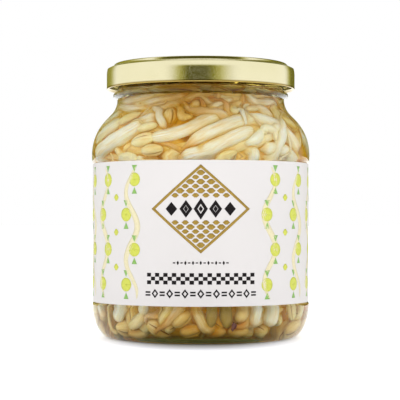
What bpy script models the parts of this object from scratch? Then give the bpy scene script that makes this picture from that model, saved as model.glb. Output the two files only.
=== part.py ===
"""Jar of bean sprouts: a glass lug-finish jar, its gold twist-off lid and seal, a paper label, and the sprouts
and loose beans inside. Millimetres in the constants and the sketches, metres in the meshes. +Z is up, the origin
is the centre of the base, and the front of the label faces -Y."""

import math

import bmesh
import bpy
import numpy as np

for old in list(bpy.data.objects):
    bpy.data.objects.remove(old, do_unlink=True)

MM = 0.001
SEGMENTS = 40  # facets round every turned piece, so that neighbours stay parallel

# ---- glass jar -------------------------------------------------------------------------------------------------
BASE_RING = (29.6, 33.0)  # the flat ring that the jar stands on
PUNT_RISE = 1.7  # the base is pushed up in the middle
HEEL = (33.0, 12.5, 6.85, 12.5)  # centre r, centre z, half width, half height of the elliptic heel
LOW_BULGE_R, LOW_BULGE_Z = 39.88, 12.3
PANEL_R, PANEL_Z = 39.2, (13.1, 63.8)  # recessed label panel
SHOULDER_R, SHOULDER_Z, SHOULDER_ARC = 40.0, 67.0, 18.3
SHOULDER_TURN = 44.0  # degrees that the shoulder leans in
NECK_R, NECK_Z, NECK_ARC = 30.7, 87.25, 8.0
BEAD_R, BEAD_Z = 32.2, 88.7  # transfer bead under the lid
FINISH_R = 30.6  # outside of the mouth's wall
RIM_Z = 98.65
MOUTH_R = 28.2  # inside of the mouth
WALL = 2.5
INNER_R = 37.2  # inside of the body
FLOOR_Z, FLOOR_RISE = 2.9, 0.9  # the inside floor at its edge, and its rise in the middle
INNER_HEEL = (30.5, 12.0, 6.7, 9.1)

# ---- lid and its screw motion ----------------------------------------------------------------------------------
LUG_COUNT = 4
LUG_AT = -42.0  # degrees, the first lug, to the right of the front
LUG_HALF = 8.0  # degrees
LUG_Z = (91.05, 91.85)
LUG_R = (31.35, 33.9)
TWIST_RANGE = 67.0  # degrees from closed to where the lugs clear the threads
TWIST_RISE = 2.2  # mm that the lid climbs in that range
THREAD_R = 32.3
THREAD_SPAN = (-14.0, 58.0)  # degrees from a closed lug's centre
THREAD_UNDERSIDE = 92.3  # at the lug's centre
THREAD_HIGH = 1.5

# ---- label -----------------------------------------------------------------------------------------------------
LABEL_Z = (13.35, 63.6)
LABEL_R, LABEL_THICK = 39.5, 0.12
LABEL_SEAM = 90.0  # degrees, at the back
LABEL_OVERLAP_STEPS = 2  # facets that the end laps over the start

# ---- contents --------------------------------------------------------------------------------------------------
FILL_Z = 91.0  # the sprouts stay under this
GAP = 0.35


def material(name, colour, roughness, metallic=0.0, alpha=1.0, transmission=0.0):
    m = bpy.data.materials.new(name)
    m.use_nodes = True
    p = m.node_tree.nodes["Principled BSDF"]
    p.inputs["Base Color"].default_value = (*colour, 1)
    p.inputs["Roughness"].default_value = roughness
    p.inputs["Metallic"].default_value = metallic
    p.inputs["Alpha"].default_value = alpha
    p.inputs["Transmission Weight"].default_value = transmission
    return m


GLASS = material("clear_glass", (0.93, 0.96, 0.93), 0.03, transmission=1.0)
GOLD = material("gold_lacquer", (0.83, 0.72, 0.38), 0.3, metallic=1.0)
COMPOUND = material("seal_compound", (0.86, 0.83, 0.74), 0.55)
PAPER = material("label_paper", (0.93, 0.91, 0.92), 0.55)
SPROUT = material("sprout", (0.92, 0.86, 0.68), 0.4)
BEAN = material("bean", (0.86, 0.74, 0.42), 0.45)


def add_object(name, mesh, mat):
    obj = bpy.data.objects.new(name, mesh)
    bpy.context.scene.collection.objects.link(obj)
    mesh.materials.append(mat)
    return obj


def arc(cr, cz, a, b, start, end, n):
    """n+1 points of an elliptic arc, angles in degrees from +r towards +z."""
    return [
        (
            cr + a * math.cos(math.radians(start + (end - start) * i / n)),
            cz + b * math.sin(math.radians(start + (end - start) * i / n)),
        )
        for i in range(n + 1)
    ]


def turned(name, profile, mat, segments=SEGMENTS):
    """A closed profile (r, z) turned about Z. Points at r = 0 become one vertex. The profile runs so that the
    material lies on its left when r points right and z up."""
    verts, rings = [], []
    for r, z in profile:
        if r < 1e-6:
            rings.append([len(verts)] * segments)
            verts.append((0, 0, z * MM))
        else:
            rings.append(list(range(len(verts), len(verts) + segments)))
            for k in range(segments):
                a = 2 * math.pi * k / segments
                verts.append((r * math.cos(a) * MM, r * math.sin(a) * MM, z * MM))
    faces = []
    closed = profile[0][0] > 1e-6 or profile[-1][0] > 1e-6
    count = len(rings) if closed else len(rings) - 1
    for i in range(count):
        low, high = rings[i], rings[(i + 1) % len(rings)]
        for k in range(segments):
            n = (k + 1) % segments
            quad = [low[k], low[n], high[n], high[k]]
            face = list(dict.fromkeys(quad))
            if len(face) >= 3:
                faces.append(face)
    mesh = bpy.data.meshes.new(name)
    mesh.from_pydata(verts, [], faces)
    mesh.update()
    mesh.shade_smooth()
    mesh.set_sharp_from_angle(angle=math.radians(35))
    return add_object(name, mesh, mat)


def swept_block(name, section, start, end, steps, rise_per_degree=0.0, pivot=0.0, close_ends=1.0):
    """A closed section (r, z) swept about Z from start to end degrees, climbing as it goes. close_ends under 1
    draws the section in at both ends, towards its inner side."""
    verts, faces, n = [], [], len(section)
    inner = min(r for r, _ in section)
    for i in range(steps + 1):
        deg = start + (end - start) * i / steps
        a = math.radians(deg)
        share = close_ends if i in (0, steps) else 1.0
        for r, z in section:
            rr = inner + (r - inner) * share
            verts.append(
                (
                    rr * math.cos(a) * MM,
                    rr * math.sin(a) * MM,
                    (z + rise_per_degree * (deg - pivot)) * MM,
                )
            )
    for i in range(steps):
        for k in range(n):
            a0, a1 = i * n + k, i * n + (k + 1) % n
            faces.append([a0, a1, a1 + n, a0 + n])
    faces.append(list(range(n))[::-1])
    faces.append(list(range(steps * n, steps * n + n)))
    mesh = bpy.data.meshes.new(name)
    mesh.from_pydata(verts, [], faces)
    bm = bmesh.new()
    bm.from_mesh(mesh)
    bmesh.ops.recalc_face_normals(bm, faces=bm.faces)
    bm.to_mesh(mesh)
    bm.free()
    obj = bpy.data.objects.new(name, mesh)
    bpy.context.scene.collection.objects.link(obj)
    obj.hide_render = True
    obj.display_type = "WIRE"
    return obj


def unite(obj, tools):
    for tool in tools:
        m = obj.modifiers.new("join_" + tool.name, "BOOLEAN")
        m.operation = "UNION"
        m.solver = "EXACT"
        m.object = tool


# ---- the jar ---------------------------------------------------------------------------------------------------
def jar_outside():
    """The outside, from the middle of the base up to the rim."""
    punt = [(0.0, PUNT_RISE), (22.0, PUNT_RISE * 0.6)]
    base = [(BASE_RING[0], 0.0), (BASE_RING[1], 0.0)]
    heel = arc(*HEEL, -74, -10, 4)
    low = [(LOW_BULGE_R, LOW_BULGE_Z), (PANEL_R, PANEL_Z[0])]
    high = [(PANEL_R, PANEL_Z[1]), (SHOULDER_R - 0.15, PANEL_Z[1] + 1.1)]
    shoulder = arc(SHOULDER_R - SHOULDER_ARC, SHOULDER_Z, SHOULDER_ARC, SHOULDER_ARC, 0, SHOULDER_TURN, 4)
    neck = arc(NECK_R + NECK_ARC, NECK_Z, NECK_ARC, NECK_ARC, 180 + SHOULDER_TURN, 180, 3)
    bead = arc(NECK_R + 0.2, BEAD_Z, BEAD_R - NECK_R - 0.2, 1.15, -70, 70, 3)
    finish = [(FINISH_R, BEAD_Z + 1.35), (FINISH_R, RIM_Z - 1.0), (FINISH_R - 0.95, RIM_Z)]
    return punt + base + heel + low + high + shoulder + neck + bead + finish


def jar_inside():
    """The inside, from the rim down to the middle of the floor."""
    mouth = [(MOUTH_R + 0.7, RIM_Z), (MOUTH_R, RIM_Z - 0.6), (MOUTH_R, NECK_Z + 1.0)]
    reach = NECK_ARC + WALL - 0.1
    neck = arc(NECK_R + NECK_ARC, NECK_Z, reach, reach, 180, 180 + SHOULDER_TURN, 3)
    inner = SHOULDER_ARC - (SHOULDER_R - INNER_R)
    shoulder = arc(SHOULDER_R - SHOULDER_ARC, SHOULDER_Z, inner, inner, SHOULDER_TURN, 0, 4)
    heel = arc(*INNER_HEEL, 0, -85, 4)
    return mouth + neck + shoulder + heel + [(0.0, FLOOR_Z + FLOOR_RISE)]


jar = turned("glass_jar", jar_outside() + jar_inside(), GLASS)
climb = TWIST_RISE / TWIST_RANGE
threads = []
for i in range(LUG_COUNT):
    at = LUG_AT + 360 / LUG_COUNT * i
    section = [
        (FINISH_R - 0.6, THREAD_UNDERSIDE),
        (THREAD_R - 0.25, THREAD_UNDERSIDE),
        (THREAD_R, THREAD_UNDERSIDE + 0.4),
        (THREAD_R - 0.3, THREAD_UNDERSIDE + 1.0),
        (FINISH_R - 0.6, THREAD_UNDERSIDE + THREAD_HIGH),
    ]
    threads.append(
        swept_block(f"thread_{i}", section, at + THREAD_SPAN[0], at + THREAD_SPAN[1], 9, climb, at, 0.62)
    )
unite(jar, threads)


# ---- the lid ---------------------------------------------------------------------------------------------------
def lid_profile():
    outside = [
        (0.0, 99.2), (7.5, 99.35), (10.6, 99.72), (12.4, 99.55), (28.3, 99.55), (29.4, 100.3), (31.9, 100.3),
        (32.5, 99.2), (33.9, 98.65), (34.6, 97.4), (34.6, 91.8), (34.2, 91.1), (33.5, 90.95), (33.1, 91.6),
    ]
    inside = [
        (33.3, 92.15), (34.28, 92.5), (34.28, 97.15), (33.7, 98.25), (32.3, 98.8), (32.22, 99.6), (31.6, 99.98),
        (29.6, 99.98), (28.55, 99.25), (12.4, 99.25), (10.6, 99.4), (7.5, 99.05), (0.0, 98.9),
    ]
    return outside + inside


lid = turned("lid", lid_profile()[::-1], GOLD)
lugs = []
for i in range(LUG_COUNT):
    at = LUG_AT + 360 / LUG_COUNT * i
    section = [(LUG_R[0], LUG_Z[0]), (LUG_R[1], LUG_Z[0]), (LUG_R[1], LUG_Z[1]), (LUG_R[0], LUG_Z[1])]
    lugs.append(swept_block(f"lug_{i}", section, at - LUG_HALF, at + LUG_HALF, 4))
unite(lid, lugs)

seal = turned(
    "lid_seal",
    [(29.0, 98.97), (31.5, 98.97), (31.85, 99.3), (31.4, 99.7), (30.0, 99.7), (29.4, 99.4)],
    COMPOUND,
)


# ---- the label -------------------------------------------------------------------------------------------------
def wrapped_label():
    """A paper strip that goes once round and laps over its own start at the back."""
    step = 360 / SEGMENTS
    count = SEGMENTS + LABEL_OVERLAP_STEPS
    verts, faces = [], []
    for i in range(count + 1):
        a = math.radians(LABEL_SEAM - step * LABEL_OVERLAP_STEPS / 2 + step * i)
        lift = 0.0 if i < SEGMENTS - 1 else LABEL_THICK + 0.05
        for r in (LABEL_R + lift, LABEL_R + lift + LABEL_THICK):
            for z in LABEL_Z:
                verts.append((r * math.cos(a) * MM, r * math.sin(a) * MM, z * MM))
    # in each row: 0 inner low, 1 inner high, 2 outer low, 3 outer high
    for i in range(count):
        a, b = 4 * i, 4 * i + 4
        faces += [[a, a + 1, b + 1, b], [a + 2, b + 2, b + 3, a + 3], [a, b, b + 2, a + 2], [a + 1, a + 3, b + 3, b + 1]]
    last = 4 * count
    faces += [[0, 2, 3, 1], [last, last + 1, last + 3, last + 2]]
    mesh = bpy.data.meshes.new("label")
    mesh.from_pydata(verts, [], faces)
    bm = bmesh.new()
    bm.from_mesh(mesh)
    bmesh.ops.recalc_face_normals(bm, faces=bm.faces)
    bm.to_mesh(mesh)
    bm.free()
    return add_object("label", mesh, PAPER)


label = wrapped_label()


# ---- the sprouts -----------------------------------------------------------------------------------------------
# A sprout is drawn by the places that its middle line passes, from its root to its head. A place is (degrees from
# the front towards the right, height in mm, depth in mm behind the glass). Every sprout and bean is a chain of
# beads: the chains are first laid along their lines and then pushed apart until none touches another or the jar.
BEADS = 20
SHORTER = 0.985  # a facet's middle lies this much nearer to the axis than its corners

# name, root share of the length, stem radius, head radius (0 for a stem whose head has broken off), places
SPROUTS = [
    ("arch", 0.16, 2.2, 0.0, [(-11, 67.5, 0), (-3, 70, 0), (10, 73.4, 0), (23, 75.4, 0.4), (38, 76.6, 1.2), (56, 73.6, 0.4), (69, 68, 0)]),
    ("low_arch", 0.1, 2.2, 0.0, [(-11, 63, 0), (-3, 65.6, 0), (11, 69.3, 0), (24, 71.5, 0.6), (36, 72.2, 3)]),
    ("high_arch", 0.2, 2.0, 2.2, [(24, 79.6, 0.6), (8, 77.6, 0.2), (-8, 74, 0.6), (-25, 71.2, 0.2), (-42, 69.6, 0)]),
    ("thin_arch", 0.55, 1.3, 0.0, [(-6, 77.8, 2.6), (5, 80.4, 1), (14, 82.8, 0.4), (26, 84.6, 0.4)]),
    ("left_white", 0.12, 2.4, 0.0, [(-82, 66.4, 0), (-66, 69.2, 0), (-52, 71.6, 0), (-40, 74.6, 0.3), (-30, 78, 1.5)]),
    ("left_upper", 0.2, 2.2, 2.25, [(-88, 70, 0.3), (-74, 73.6, 0), (-58, 76.4, 0), (-44, 78.6, 0.4)]),
    ("strap", 0.5, 1.25, 0.0, [(-46, 84, 0.3), (-37, 81, 0), (-29.5, 77.2, 0), (-24, 74.3, 0), (-21, 72, 1.2)]),
    ("hook", 0.45, 1.7, 1.95, [(-28, 86, 0.2), (-19, 83.6, 0), (-14, 80.2, 0), (-11, 77.6, 0), (-4.5, 76.6, 0)]),
    ("dropper", 0.6, 1.3, 2.05, [(28, 70.2, 0.6), (26.5, 74, 0), (25, 77.5, 0), (24, 81, 0), (29, 83.6, 0.3)]),
    ("curl", 0.3, 1.8, 1.9, [(24, 67.6, 3), (30, 71.5, 1), (38, 74, 0), (45, 73.4, 0), (46, 70.4, 0)]),
    ("upright", 0.25, 1.8, 0.0, [(25, 56, 0.5), (27, 60.5, 0), (29, 64.5, 0), (30, 68, 0.2), (26, 71.5, 3.2)]),
    ("front_low", 0.15, 1.9, 2.1, [(0, 57, 0.4), (5, 61, 0), (12, 64.4, 0), (20, 66.4, 0.2)]),
    ("tan", 0.15, 2.1, 0.0, [(36, 67, 1), (46, 67.8, 0.6), (57, 67, 0.6), (70, 63, 0)]),
    ("end_white", 0.2, 1.9, 2.25, [(64, 54, 0), (56, 58.5, 0), (47, 62.2, 0), (39, 64.6, 0)]),
    ("sill", 0.2, 1.9, 2.2, [(-2, 57.5, 0.6), (-13, 62.3, 0.2), (-26, 64.9, 0), (-38, 66, 0), (-52, 65.4, 0)]),
    ("left_rim", 0.25, 1.9, 0.0, [(-104, 66, 0), (-92, 70.6, 0), (-80, 75.6, 0.2), (-68, 80.4, 0)]),
    ("right_rim", 0.3, 1.9, 2.2, [(98, 65, 0), (86, 69.4, 0), (74, 74, 0), (62, 78.2, 0)]),
    ("neck_left", 0.3, 1.7, 1.95, [(-92, 82, 0.3), (-66, 84.6, 0.2), (-40, 86.6, 0.2), (-16, 87.6, 0)]),
    ("neck_right", 0.35, 1.7, 1.95, [(86, 82.6, 0.3), (62, 84.4, 0.2), (44, 84.2, 0.2), (34, 87.4, 0), (14, 87.4, 0)]),
    ("low_far_left", 0.3, 1.7, 0.0, [(-64, 25, 0.2), (-68, 19, 0), (-72, 13, 0), (-68, 8.5, 0)]),
    ("low_left", 0.2, 2.3, 0.0, [(-34, 28, 0.2), (-42, 20, 0), (-49, 13.5, 0), (-56, 8, 0)]),
    ("low_slant", 0.2, 2.3, 2.25, [(-22, 26, 0.2), (-27, 19, 0), (-31, 13, 0), (-36, 8.6, 0), (-46, 6.4, 0.5)]),
    ("low_bent", 0.35, 1.9, 2.1, [(-2, 23, 0.2), (-9, 18, 0), (-16, 14, 0), (-21.5, 10.8, 0), (-23, 7, 0)]),
    ("low_reed", 0.5, 1.7, 0.0, [(40, 27, 0.2), (36, 19, 0), (33, 12, 0), (31.5, 6.5, 0)]),
    ("low_thick", 0.15, 2.6, 0.0, [(42, 30, 0.2), (44, 20, 0), (45, 12, 0), (43, 6.4, 0)]),
    ("low_right", 0.3, 1.9, 2.1, [(50, 27, 0.2), (55, 19, 0), (60, 13, 0), (64, 8, 0)]),
]

# name, half length, half width, place of the middle, degrees that the long side leans from upright
BEANS = [
    ("shoulder", 3.0, 2.25, (-23.5, 78, 0.4), 25),
    ("tooth", 3.1, 2.25, (-3.4, 81.2, 0), 5),
    ("perch", 3.3, 1.65, (37, 80.4, 0), 84),
    ("smile", 3.7, 1.6, (-34, 72.4, 0), 80),
    ("pillow", 4.0, 1.9, (-30, 68.6, 0), 86),
    ("ledge", 3.7, 2.1, (-23.5, 14.6, 0.2), 78),
    ("split", 3.8, 2.6, (-11.5, 9.2, 0), 62),
    ("rosy", 3.6, 2.0, (-6.5, 5.2, 0.2), 80),
    ("olive", 4.0, 2.1, (6.5, 9.9, 1.2), 4),
    ("olive_twin", 4.0, 2.2, (14.5, 9.9, 1.2), -4),
    ("floor_pale", 3.5, 1.9, (9, 4.6, 0.4), 88),
    ("white_round", 2.9, 2.4, (23.5, 10.4, 0.6), 30),
    ("floor_end", 3.7, 1.9, (23, 4.5, 0.4), 90),
]


def inner_radius(z):
    """The jar's inside radius at a height."""
    if z < INNER_HEEL[1]:
        share = min(0.999, (INNER_HEEL[1] - z) / INNER_HEEL[3])
        return INNER_HEEL[0] + INNER_HEEL[2] * math.sqrt(1 - share * share)
    if z < SHOULDER_Z:
        return INNER_R
    inner = SHOULDER_ARC - (SHOULDER_R - INNER_R)
    reach = NECK_ARC + WALL - 0.1
    turn = math.radians(SHOULDER_TURN)
    z1, r1 = SHOULDER_Z + inner * math.sin(turn), SHOULDER_R - SHOULDER_ARC + inner * math.cos(turn)
    z2, r2 = NECK_Z - reach * math.sin(turn), NECK_R + NECK_ARC - reach * math.cos(turn)
    if z < z1:
        return SHOULDER_R - SHOULDER_ARC + math.sqrt(inner * inner - (z - SHOULDER_Z) ** 2)
    if z < z2:
        return r1 + (r2 - r1) * (z - z1) / (z2 - z1)
    if z < NECK_Z:
        return NECK_R + NECK_ARC - math.sqrt(reach * reach - (NECK_Z - z) ** 2)
    return MOUTH_R


WALL_TABLE = np.array([inner_radius(0.25 * i) * SHORTER for i in range(400)])


def place(degrees, z, depth, radius):
    a = math.radians(degrees)
    r = inner_radius(z) * SHORTER - radius - GAP - depth
    return np.array([r * math.sin(a), -r * math.cos(a), z])


def spline(points, count):
    """Points at even steps along a smooth curve through the given ones."""
    pts = [2 * points[0] - points[1]] + list(points) + [2 * points[-1] - points[-2]]
    dense = []
    for i in range(1, len(pts) - 2):
        for j in range(16):
            t = j / 16
            a, b, c, d = pts[i - 1], pts[i], pts[i + 1], pts[i + 2]
            dense.append(
                0.5 * (2 * b + (c - a) * t + (2 * a - 5 * b + 4 * c - d) * t * t + (3 * b - a - 3 * c + d) * t**3)
            )
    dense.append(pts[-2])
    dense = np.array(dense)
    step = np.sqrt(((dense[1:] - dense[:-1]) ** 2).sum(axis=1))
    along = np.concatenate([[0.0], np.cumsum(step)])
    want = np.linspace(0, along[-1], count)
    return np.stack([np.interp(want, along, dense[:, k]) for k in range(3)], axis=1), along[-1]


def sprout_radii(length, root, stem, head):
    """Radius at each bead: a root tail, a plump stem, and a pair of seed leaves at the end."""
    out = []
    for k in range(BEADS):
        t = k / (BEADS - 1)
        r = stem
        if t < root:
            u = t / root
            r = 0.55 + (stem - 0.55) * u * u * (3 - 2 * u)
        left = (1 - t) * length
        if head:
            if left < 8.4:
                u = (left - 4.3) / 4.3
                r = max(0.5, head * math.sqrt(max(0.0, 1 - u * u)))
                r = max(r, stem * 0.8) if left > 5.8 else r
            elif left < 12:
                r = min(r, stem * 0.8 + (stem * 0.2) * (left - 8.4) / 3.6)
        elif left < 2.5:
            r = min(r, stem * math.sqrt(max(0.1, 1 - ((2.5 - left) / 2.6) ** 2)))
        out.append(r)
    return out


def chains():
    """Names, bead centres and bead radii of everything in the jar, as first laid."""
    names, centres, radii, halves = [], [], [], []
    for name, root, stem, head, places in SPROUTS:
        line, length = spline([place(*p, stem) for p in places], BEADS)
        names.append("sprout_" + name)
        centres.append(line)
        radii.append(sprout_radii(length, root, stem, head))
        halves.append(0.0)
    for name, half, width, at, lean in BEANS:
        middle = place(*at, width)
        a = math.radians(at[0])
        right = np.array([math.cos(a), math.sin(a), 0.0])
        axis = right * math.sin(math.radians(lean)) + np.array([0, 0, 1.0]) * math.cos(math.radians(lean))
        share = np.linspace(-1, 1, BEADS)
        names.append("bean_" + name)
        centres.append(middle + axis * share[:, None] * (half - 0.5))
        radii.append([max(0.6, width * math.sqrt(1 - (0.97 * u) ** 2)) for u in share])
        halves.append(half - 0.5)
    # the ones at the back and in the middle follow a rule: they climb and turn in alternate directions
    rng = np.random.default_rng(7)
    for i in range(BACK_COUNT):
        start = 112 + 136 * (i % 8) / 7 + rng.uniform(-5, 5)
        z = 13 + 60 * (i // 8) / max(1, (BACK_COUNT - 1) // 8) + rng.uniform(-2, 2)
        way = 1 if i % 2 else -1
        depth = 0.5 + 7.0 * (i % 3 == 1)
        stem = rng.uniform(1.8, 2.4)
        places = [(start + way * 15 * k, z + rng.uniform(2.6, 4.6) * k, depth) for k in range(-2, 3)]
        places = [(a, min(max(h, 7.0), 84.0), d) for a, h, d in places]
        line, length = spline([place(*p, stem) for p in places], BEADS)
        names.append(f"sprout_back_{i + 1:02d}")
        centres.append(line)
        radii.append(sprout_radii(length, rng.uniform(0.2, 0.4), stem, 2.25 if i % 3 else 0.0))
        halves.append(0.0)
    return names, np.array(centres), np.array(radii), halves


def keep_inside(p, r):
    """Moves beads back inside the jar, off its wall, its floor and the lid."""
    across = np.clip(1 - (np.sqrt(p[..., 0] ** 2 + p[..., 1] ** 2) / 27.0) ** 2, 0, 1)
    z = np.clip(p[..., 2], FLOOR_Z + FLOOR_RISE * across + GAP + r, FILL_Z - r)
    i = z / 0.25
    low = i.astype(int)
    wall = WALL_TABLE[low] + (WALL_TABLE[low + 1] - WALL_TABLE[low]) * (i - low)
    # a bead near a sloping wall touches it beside its own height
    for shift in (-0.7, 0.7):
        j = np.clip((z + shift * r) / 0.25, 0, 397)
        at = j.astype(int)
        w = WALL_TABLE[at] + (WALL_TABLE[at + 1] - WALL_TABLE[at]) * (j - at)
        wall = np.minimum(wall, w + r * 0.29)
    limit = wall - r - GAP
    flat = np.sqrt(p[..., 0] ** 2 + p[..., 1] ** 2)
    scale = np.minimum(1.0, limit / np.maximum(flat, 1e-6))
    p[..., 0] *= scale
    p[..., 1] *= scale
    p[..., 2] = z


def straighten(p, halves):
    """A bean is stiff: its beads go back on one straight line."""
    share = np.linspace(-1, 1, BEADS)
    for c, half in enumerate(halves):
        if half:
            middle = p[c].sum(axis=0) / BEADS
            axis = (p[c] * share[:, None]).sum(axis=0)
            p[c] = middle + axis / math.sqrt(axis[0] ** 2 + axis[1] ** 2 + axis[2] ** 2) * share[:, None] * half


def settle(p, r, halves, rounds):
    """Pushes the chains apart, and keeps their lengths, their bends and the jar's wall."""
    chain_count, n = r.shape
    owner = np.repeat(np.arange(chain_count), n)
    rest = np.sqrt(((p[:, 1:] - p[:, :-1]) ** 2).sum(axis=2))
    bend = p[:, 1:-1] - 0.5 * (p[:, :-2] + p[:, 2:])
    home = p.copy()
    flat_r = r.reshape(-1)
    for turn in range(rounds):
        q = p.reshape(-1, 3)
        if turn % 6 == 0:
            sq = ((q[:, None, :] - q[None, :, :]) ** 2).sum(axis=2)
            near = (sq < (flat_r[:, None] + flat_r[None, :] + GAP + 3.0) ** 2) & (owner[:, None] < owner[None, :])
            i, j = np.nonzero(near)
        gap = q[j] - q[i]
        dist = np.sqrt(gap[:, 0] ** 2 + gap[:, 1] ** 2 + gap[:, 2] ** 2)
        over = flat_r[i] + flat_r[j] + GAP * 1.25 - dist
        hit = over > 0
        push = gap[hit] * (0.5 * over[hit] / np.maximum(dist[hit], 1e-6))[:, None]
        moved = np.zeros_like(q)
        for k in range(3):
            moved[:, k] += np.bincount(j[hit], push[:, k], len(q)) - np.bincount(i[hit], push[:, k], len(q))
        count = np.bincount(i[hit], minlength=len(q)) + np.bincount(j[hit], minlength=len(q))
        q += moved / np.maximum(1, count)[:, None] * 0.9
        p = q.reshape(chain_count, n, 3)
        p += 0.01 * (home - p) * (turn < rounds * 0.6)
        p[:, 1:-1] += 0.35 * (0.5 * (p[:, :-2] + p[:, 2:]) + bend - p[:, 1:-1])
        for first in (0, 1, 0, 1):
            a, b = p[:, first:-1:2], p[:, first + 1 :: 2]
            d = b - a
            length = np.sqrt((d**2).sum(axis=2))
            fix = d * (0.5 * (length - rest[:, first::2]) / np.maximum(length, 1e-6))[..., None]
            a += fix
            b -= fix
        straighten(p, halves)
        keep_inside(p, r)
    straighten(p, halves)
    return p


def tube(name, line, radii, sides, stations, mat):
    """A closed tube round a line, with a flat cap at each end."""
    t = np.linspace(0, len(line) - 1, stations)
    centre = np.stack([np.interp(t, np.arange(len(line)), line[:, k]) for k in range(3)], axis=1)
    radius = np.interp(t, np.arange(len(line)), radii)
    verts, faces, side = [], [], None
    for i in range(stations):
        ahead = centre[min(i + 1, stations - 1)] - centre[max(i - 1, 0)]
        ahead /= np.linalg.norm(ahead)
        if side is None:
            side = np.cross(ahead, [0.0, 0.0, 1.0] if abs(ahead[2]) < 0.9 else [1.0, 0.0, 0.0])
        side = side - ahead * side.dot(ahead)
        side /= np.linalg.norm(side)
        up = np.cross(ahead, side)
        for k in range(sides):
            a = 2 * math.pi * k / sides
            verts.append((centre[i] + radius[i] * 0.97 * (math.cos(a) * side + math.sin(a) * up)) * MM)
    for i in range(stations - 1):
        for k in range(sides):
            a, b = i * sides + k, i * sides + (k + 1) % sides
            faces.append([a, b, b + sides, a + sides])
    faces.append(list(range(sides))[::-1])
    faces.append(list(range((stations - 1) * sides, stations * sides)))
    mesh = bpy.data.meshes.new(name)
    mesh.from_pydata([tuple(v) for v in verts], [], faces)
    mesh.shade_smooth()
    return add_object(name, mesh, mat)


BACK_COUNT = 16
names, laid, radii, halves = chains()
settled = settle(laid, radii, halves, 150)
for name, line, r, half in zip(names, settled, radii, halves):
    if half:
        tube(name, line, r, 8, 7, BEAN)
    else:
        tube(name, line, r, 6, 11, SPROUT)
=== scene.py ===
"""The looks of a jar of bean sprouts: glass, amber brine, wet translucent sprouts, a gold lacquered lid and a
printed paper label, under soft studio light. Millimetres in the sketches, metres in the meshes."""

import math

import bmesh
import bpy
import numpy as np
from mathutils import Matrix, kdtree


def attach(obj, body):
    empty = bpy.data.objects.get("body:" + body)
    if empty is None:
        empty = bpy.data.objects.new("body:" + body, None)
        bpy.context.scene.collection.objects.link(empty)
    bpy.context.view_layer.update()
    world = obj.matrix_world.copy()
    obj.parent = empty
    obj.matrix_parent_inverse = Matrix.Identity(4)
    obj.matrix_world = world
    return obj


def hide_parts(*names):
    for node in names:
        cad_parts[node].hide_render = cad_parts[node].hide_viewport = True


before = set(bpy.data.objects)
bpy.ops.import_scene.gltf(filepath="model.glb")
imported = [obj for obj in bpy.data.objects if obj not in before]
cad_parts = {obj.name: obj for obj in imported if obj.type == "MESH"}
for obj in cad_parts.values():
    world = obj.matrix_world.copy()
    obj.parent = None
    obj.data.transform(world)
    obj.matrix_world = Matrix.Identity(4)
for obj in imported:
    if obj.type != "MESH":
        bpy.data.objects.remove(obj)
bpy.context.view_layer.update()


MM = 0.001

# ---- the same jar, in the same numbers as the solids -----------------------------------------------------------
BASE_RING = (29.6, 33.0)
PUNT_RISE = 1.7
HEEL = (33.0, 12.5, 6.85, 12.5)
LOW_BULGE_R, LOW_BULGE_Z = 39.88, 12.3
PANEL_R, PANEL_Z = 39.2, (13.1, 63.8)
SHOULDER_R, SHOULDER_Z, SHOULDER_ARC = 40.0, 67.0, 18.3
SHOULDER_TURN = 44.0
NECK_R, NECK_Z, NECK_ARC = 30.7, 87.25, 8.0
BEAD_R, BEAD_Z = 32.2, 88.7
FINISH_R = 30.6
RIM_Z = 98.65
MOUTH_R = 28.2
WALL = 2.5
INNER_R = 37.2
FLOOR_Z, FLOOR_RISE = 2.9, 0.9
INNER_HEEL = (30.5, 12.0, 6.7, 9.1)
LUG_COUNT = 4
LUG_AT = -42.0
TWIST_RANGE, TWIST_RISE = 67.0, 2.2
THREAD_R = 32.3
THREAD_SPAN = (-14.0, 58.0)
THREAD_UNDERSIDE = 92.3
THREAD_HIGH = 1.5
LABEL_Z = (13.35, 63.6)
LABEL_R, LABEL_THICK = 39.5, 0.12
FILL_Z = 91.0
GAP = 0.35
BACK_COUNT = 16

# ---- the contents, laid out as in the solids -------------------------------------------------------------------

# A sprout is drawn by the places that its middle line passes, from its root to its head. A place is (degrees from
# the front towards the right, height in mm, depth in mm behind the glass). Every sprout and bean is a chain of
# beads: the chains are first laid along their lines and then pushed apart until none touches another or the jar.
BEADS = 20
SHORTER = 0.985  # a facet's middle lies this much nearer to the axis than its corners

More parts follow.
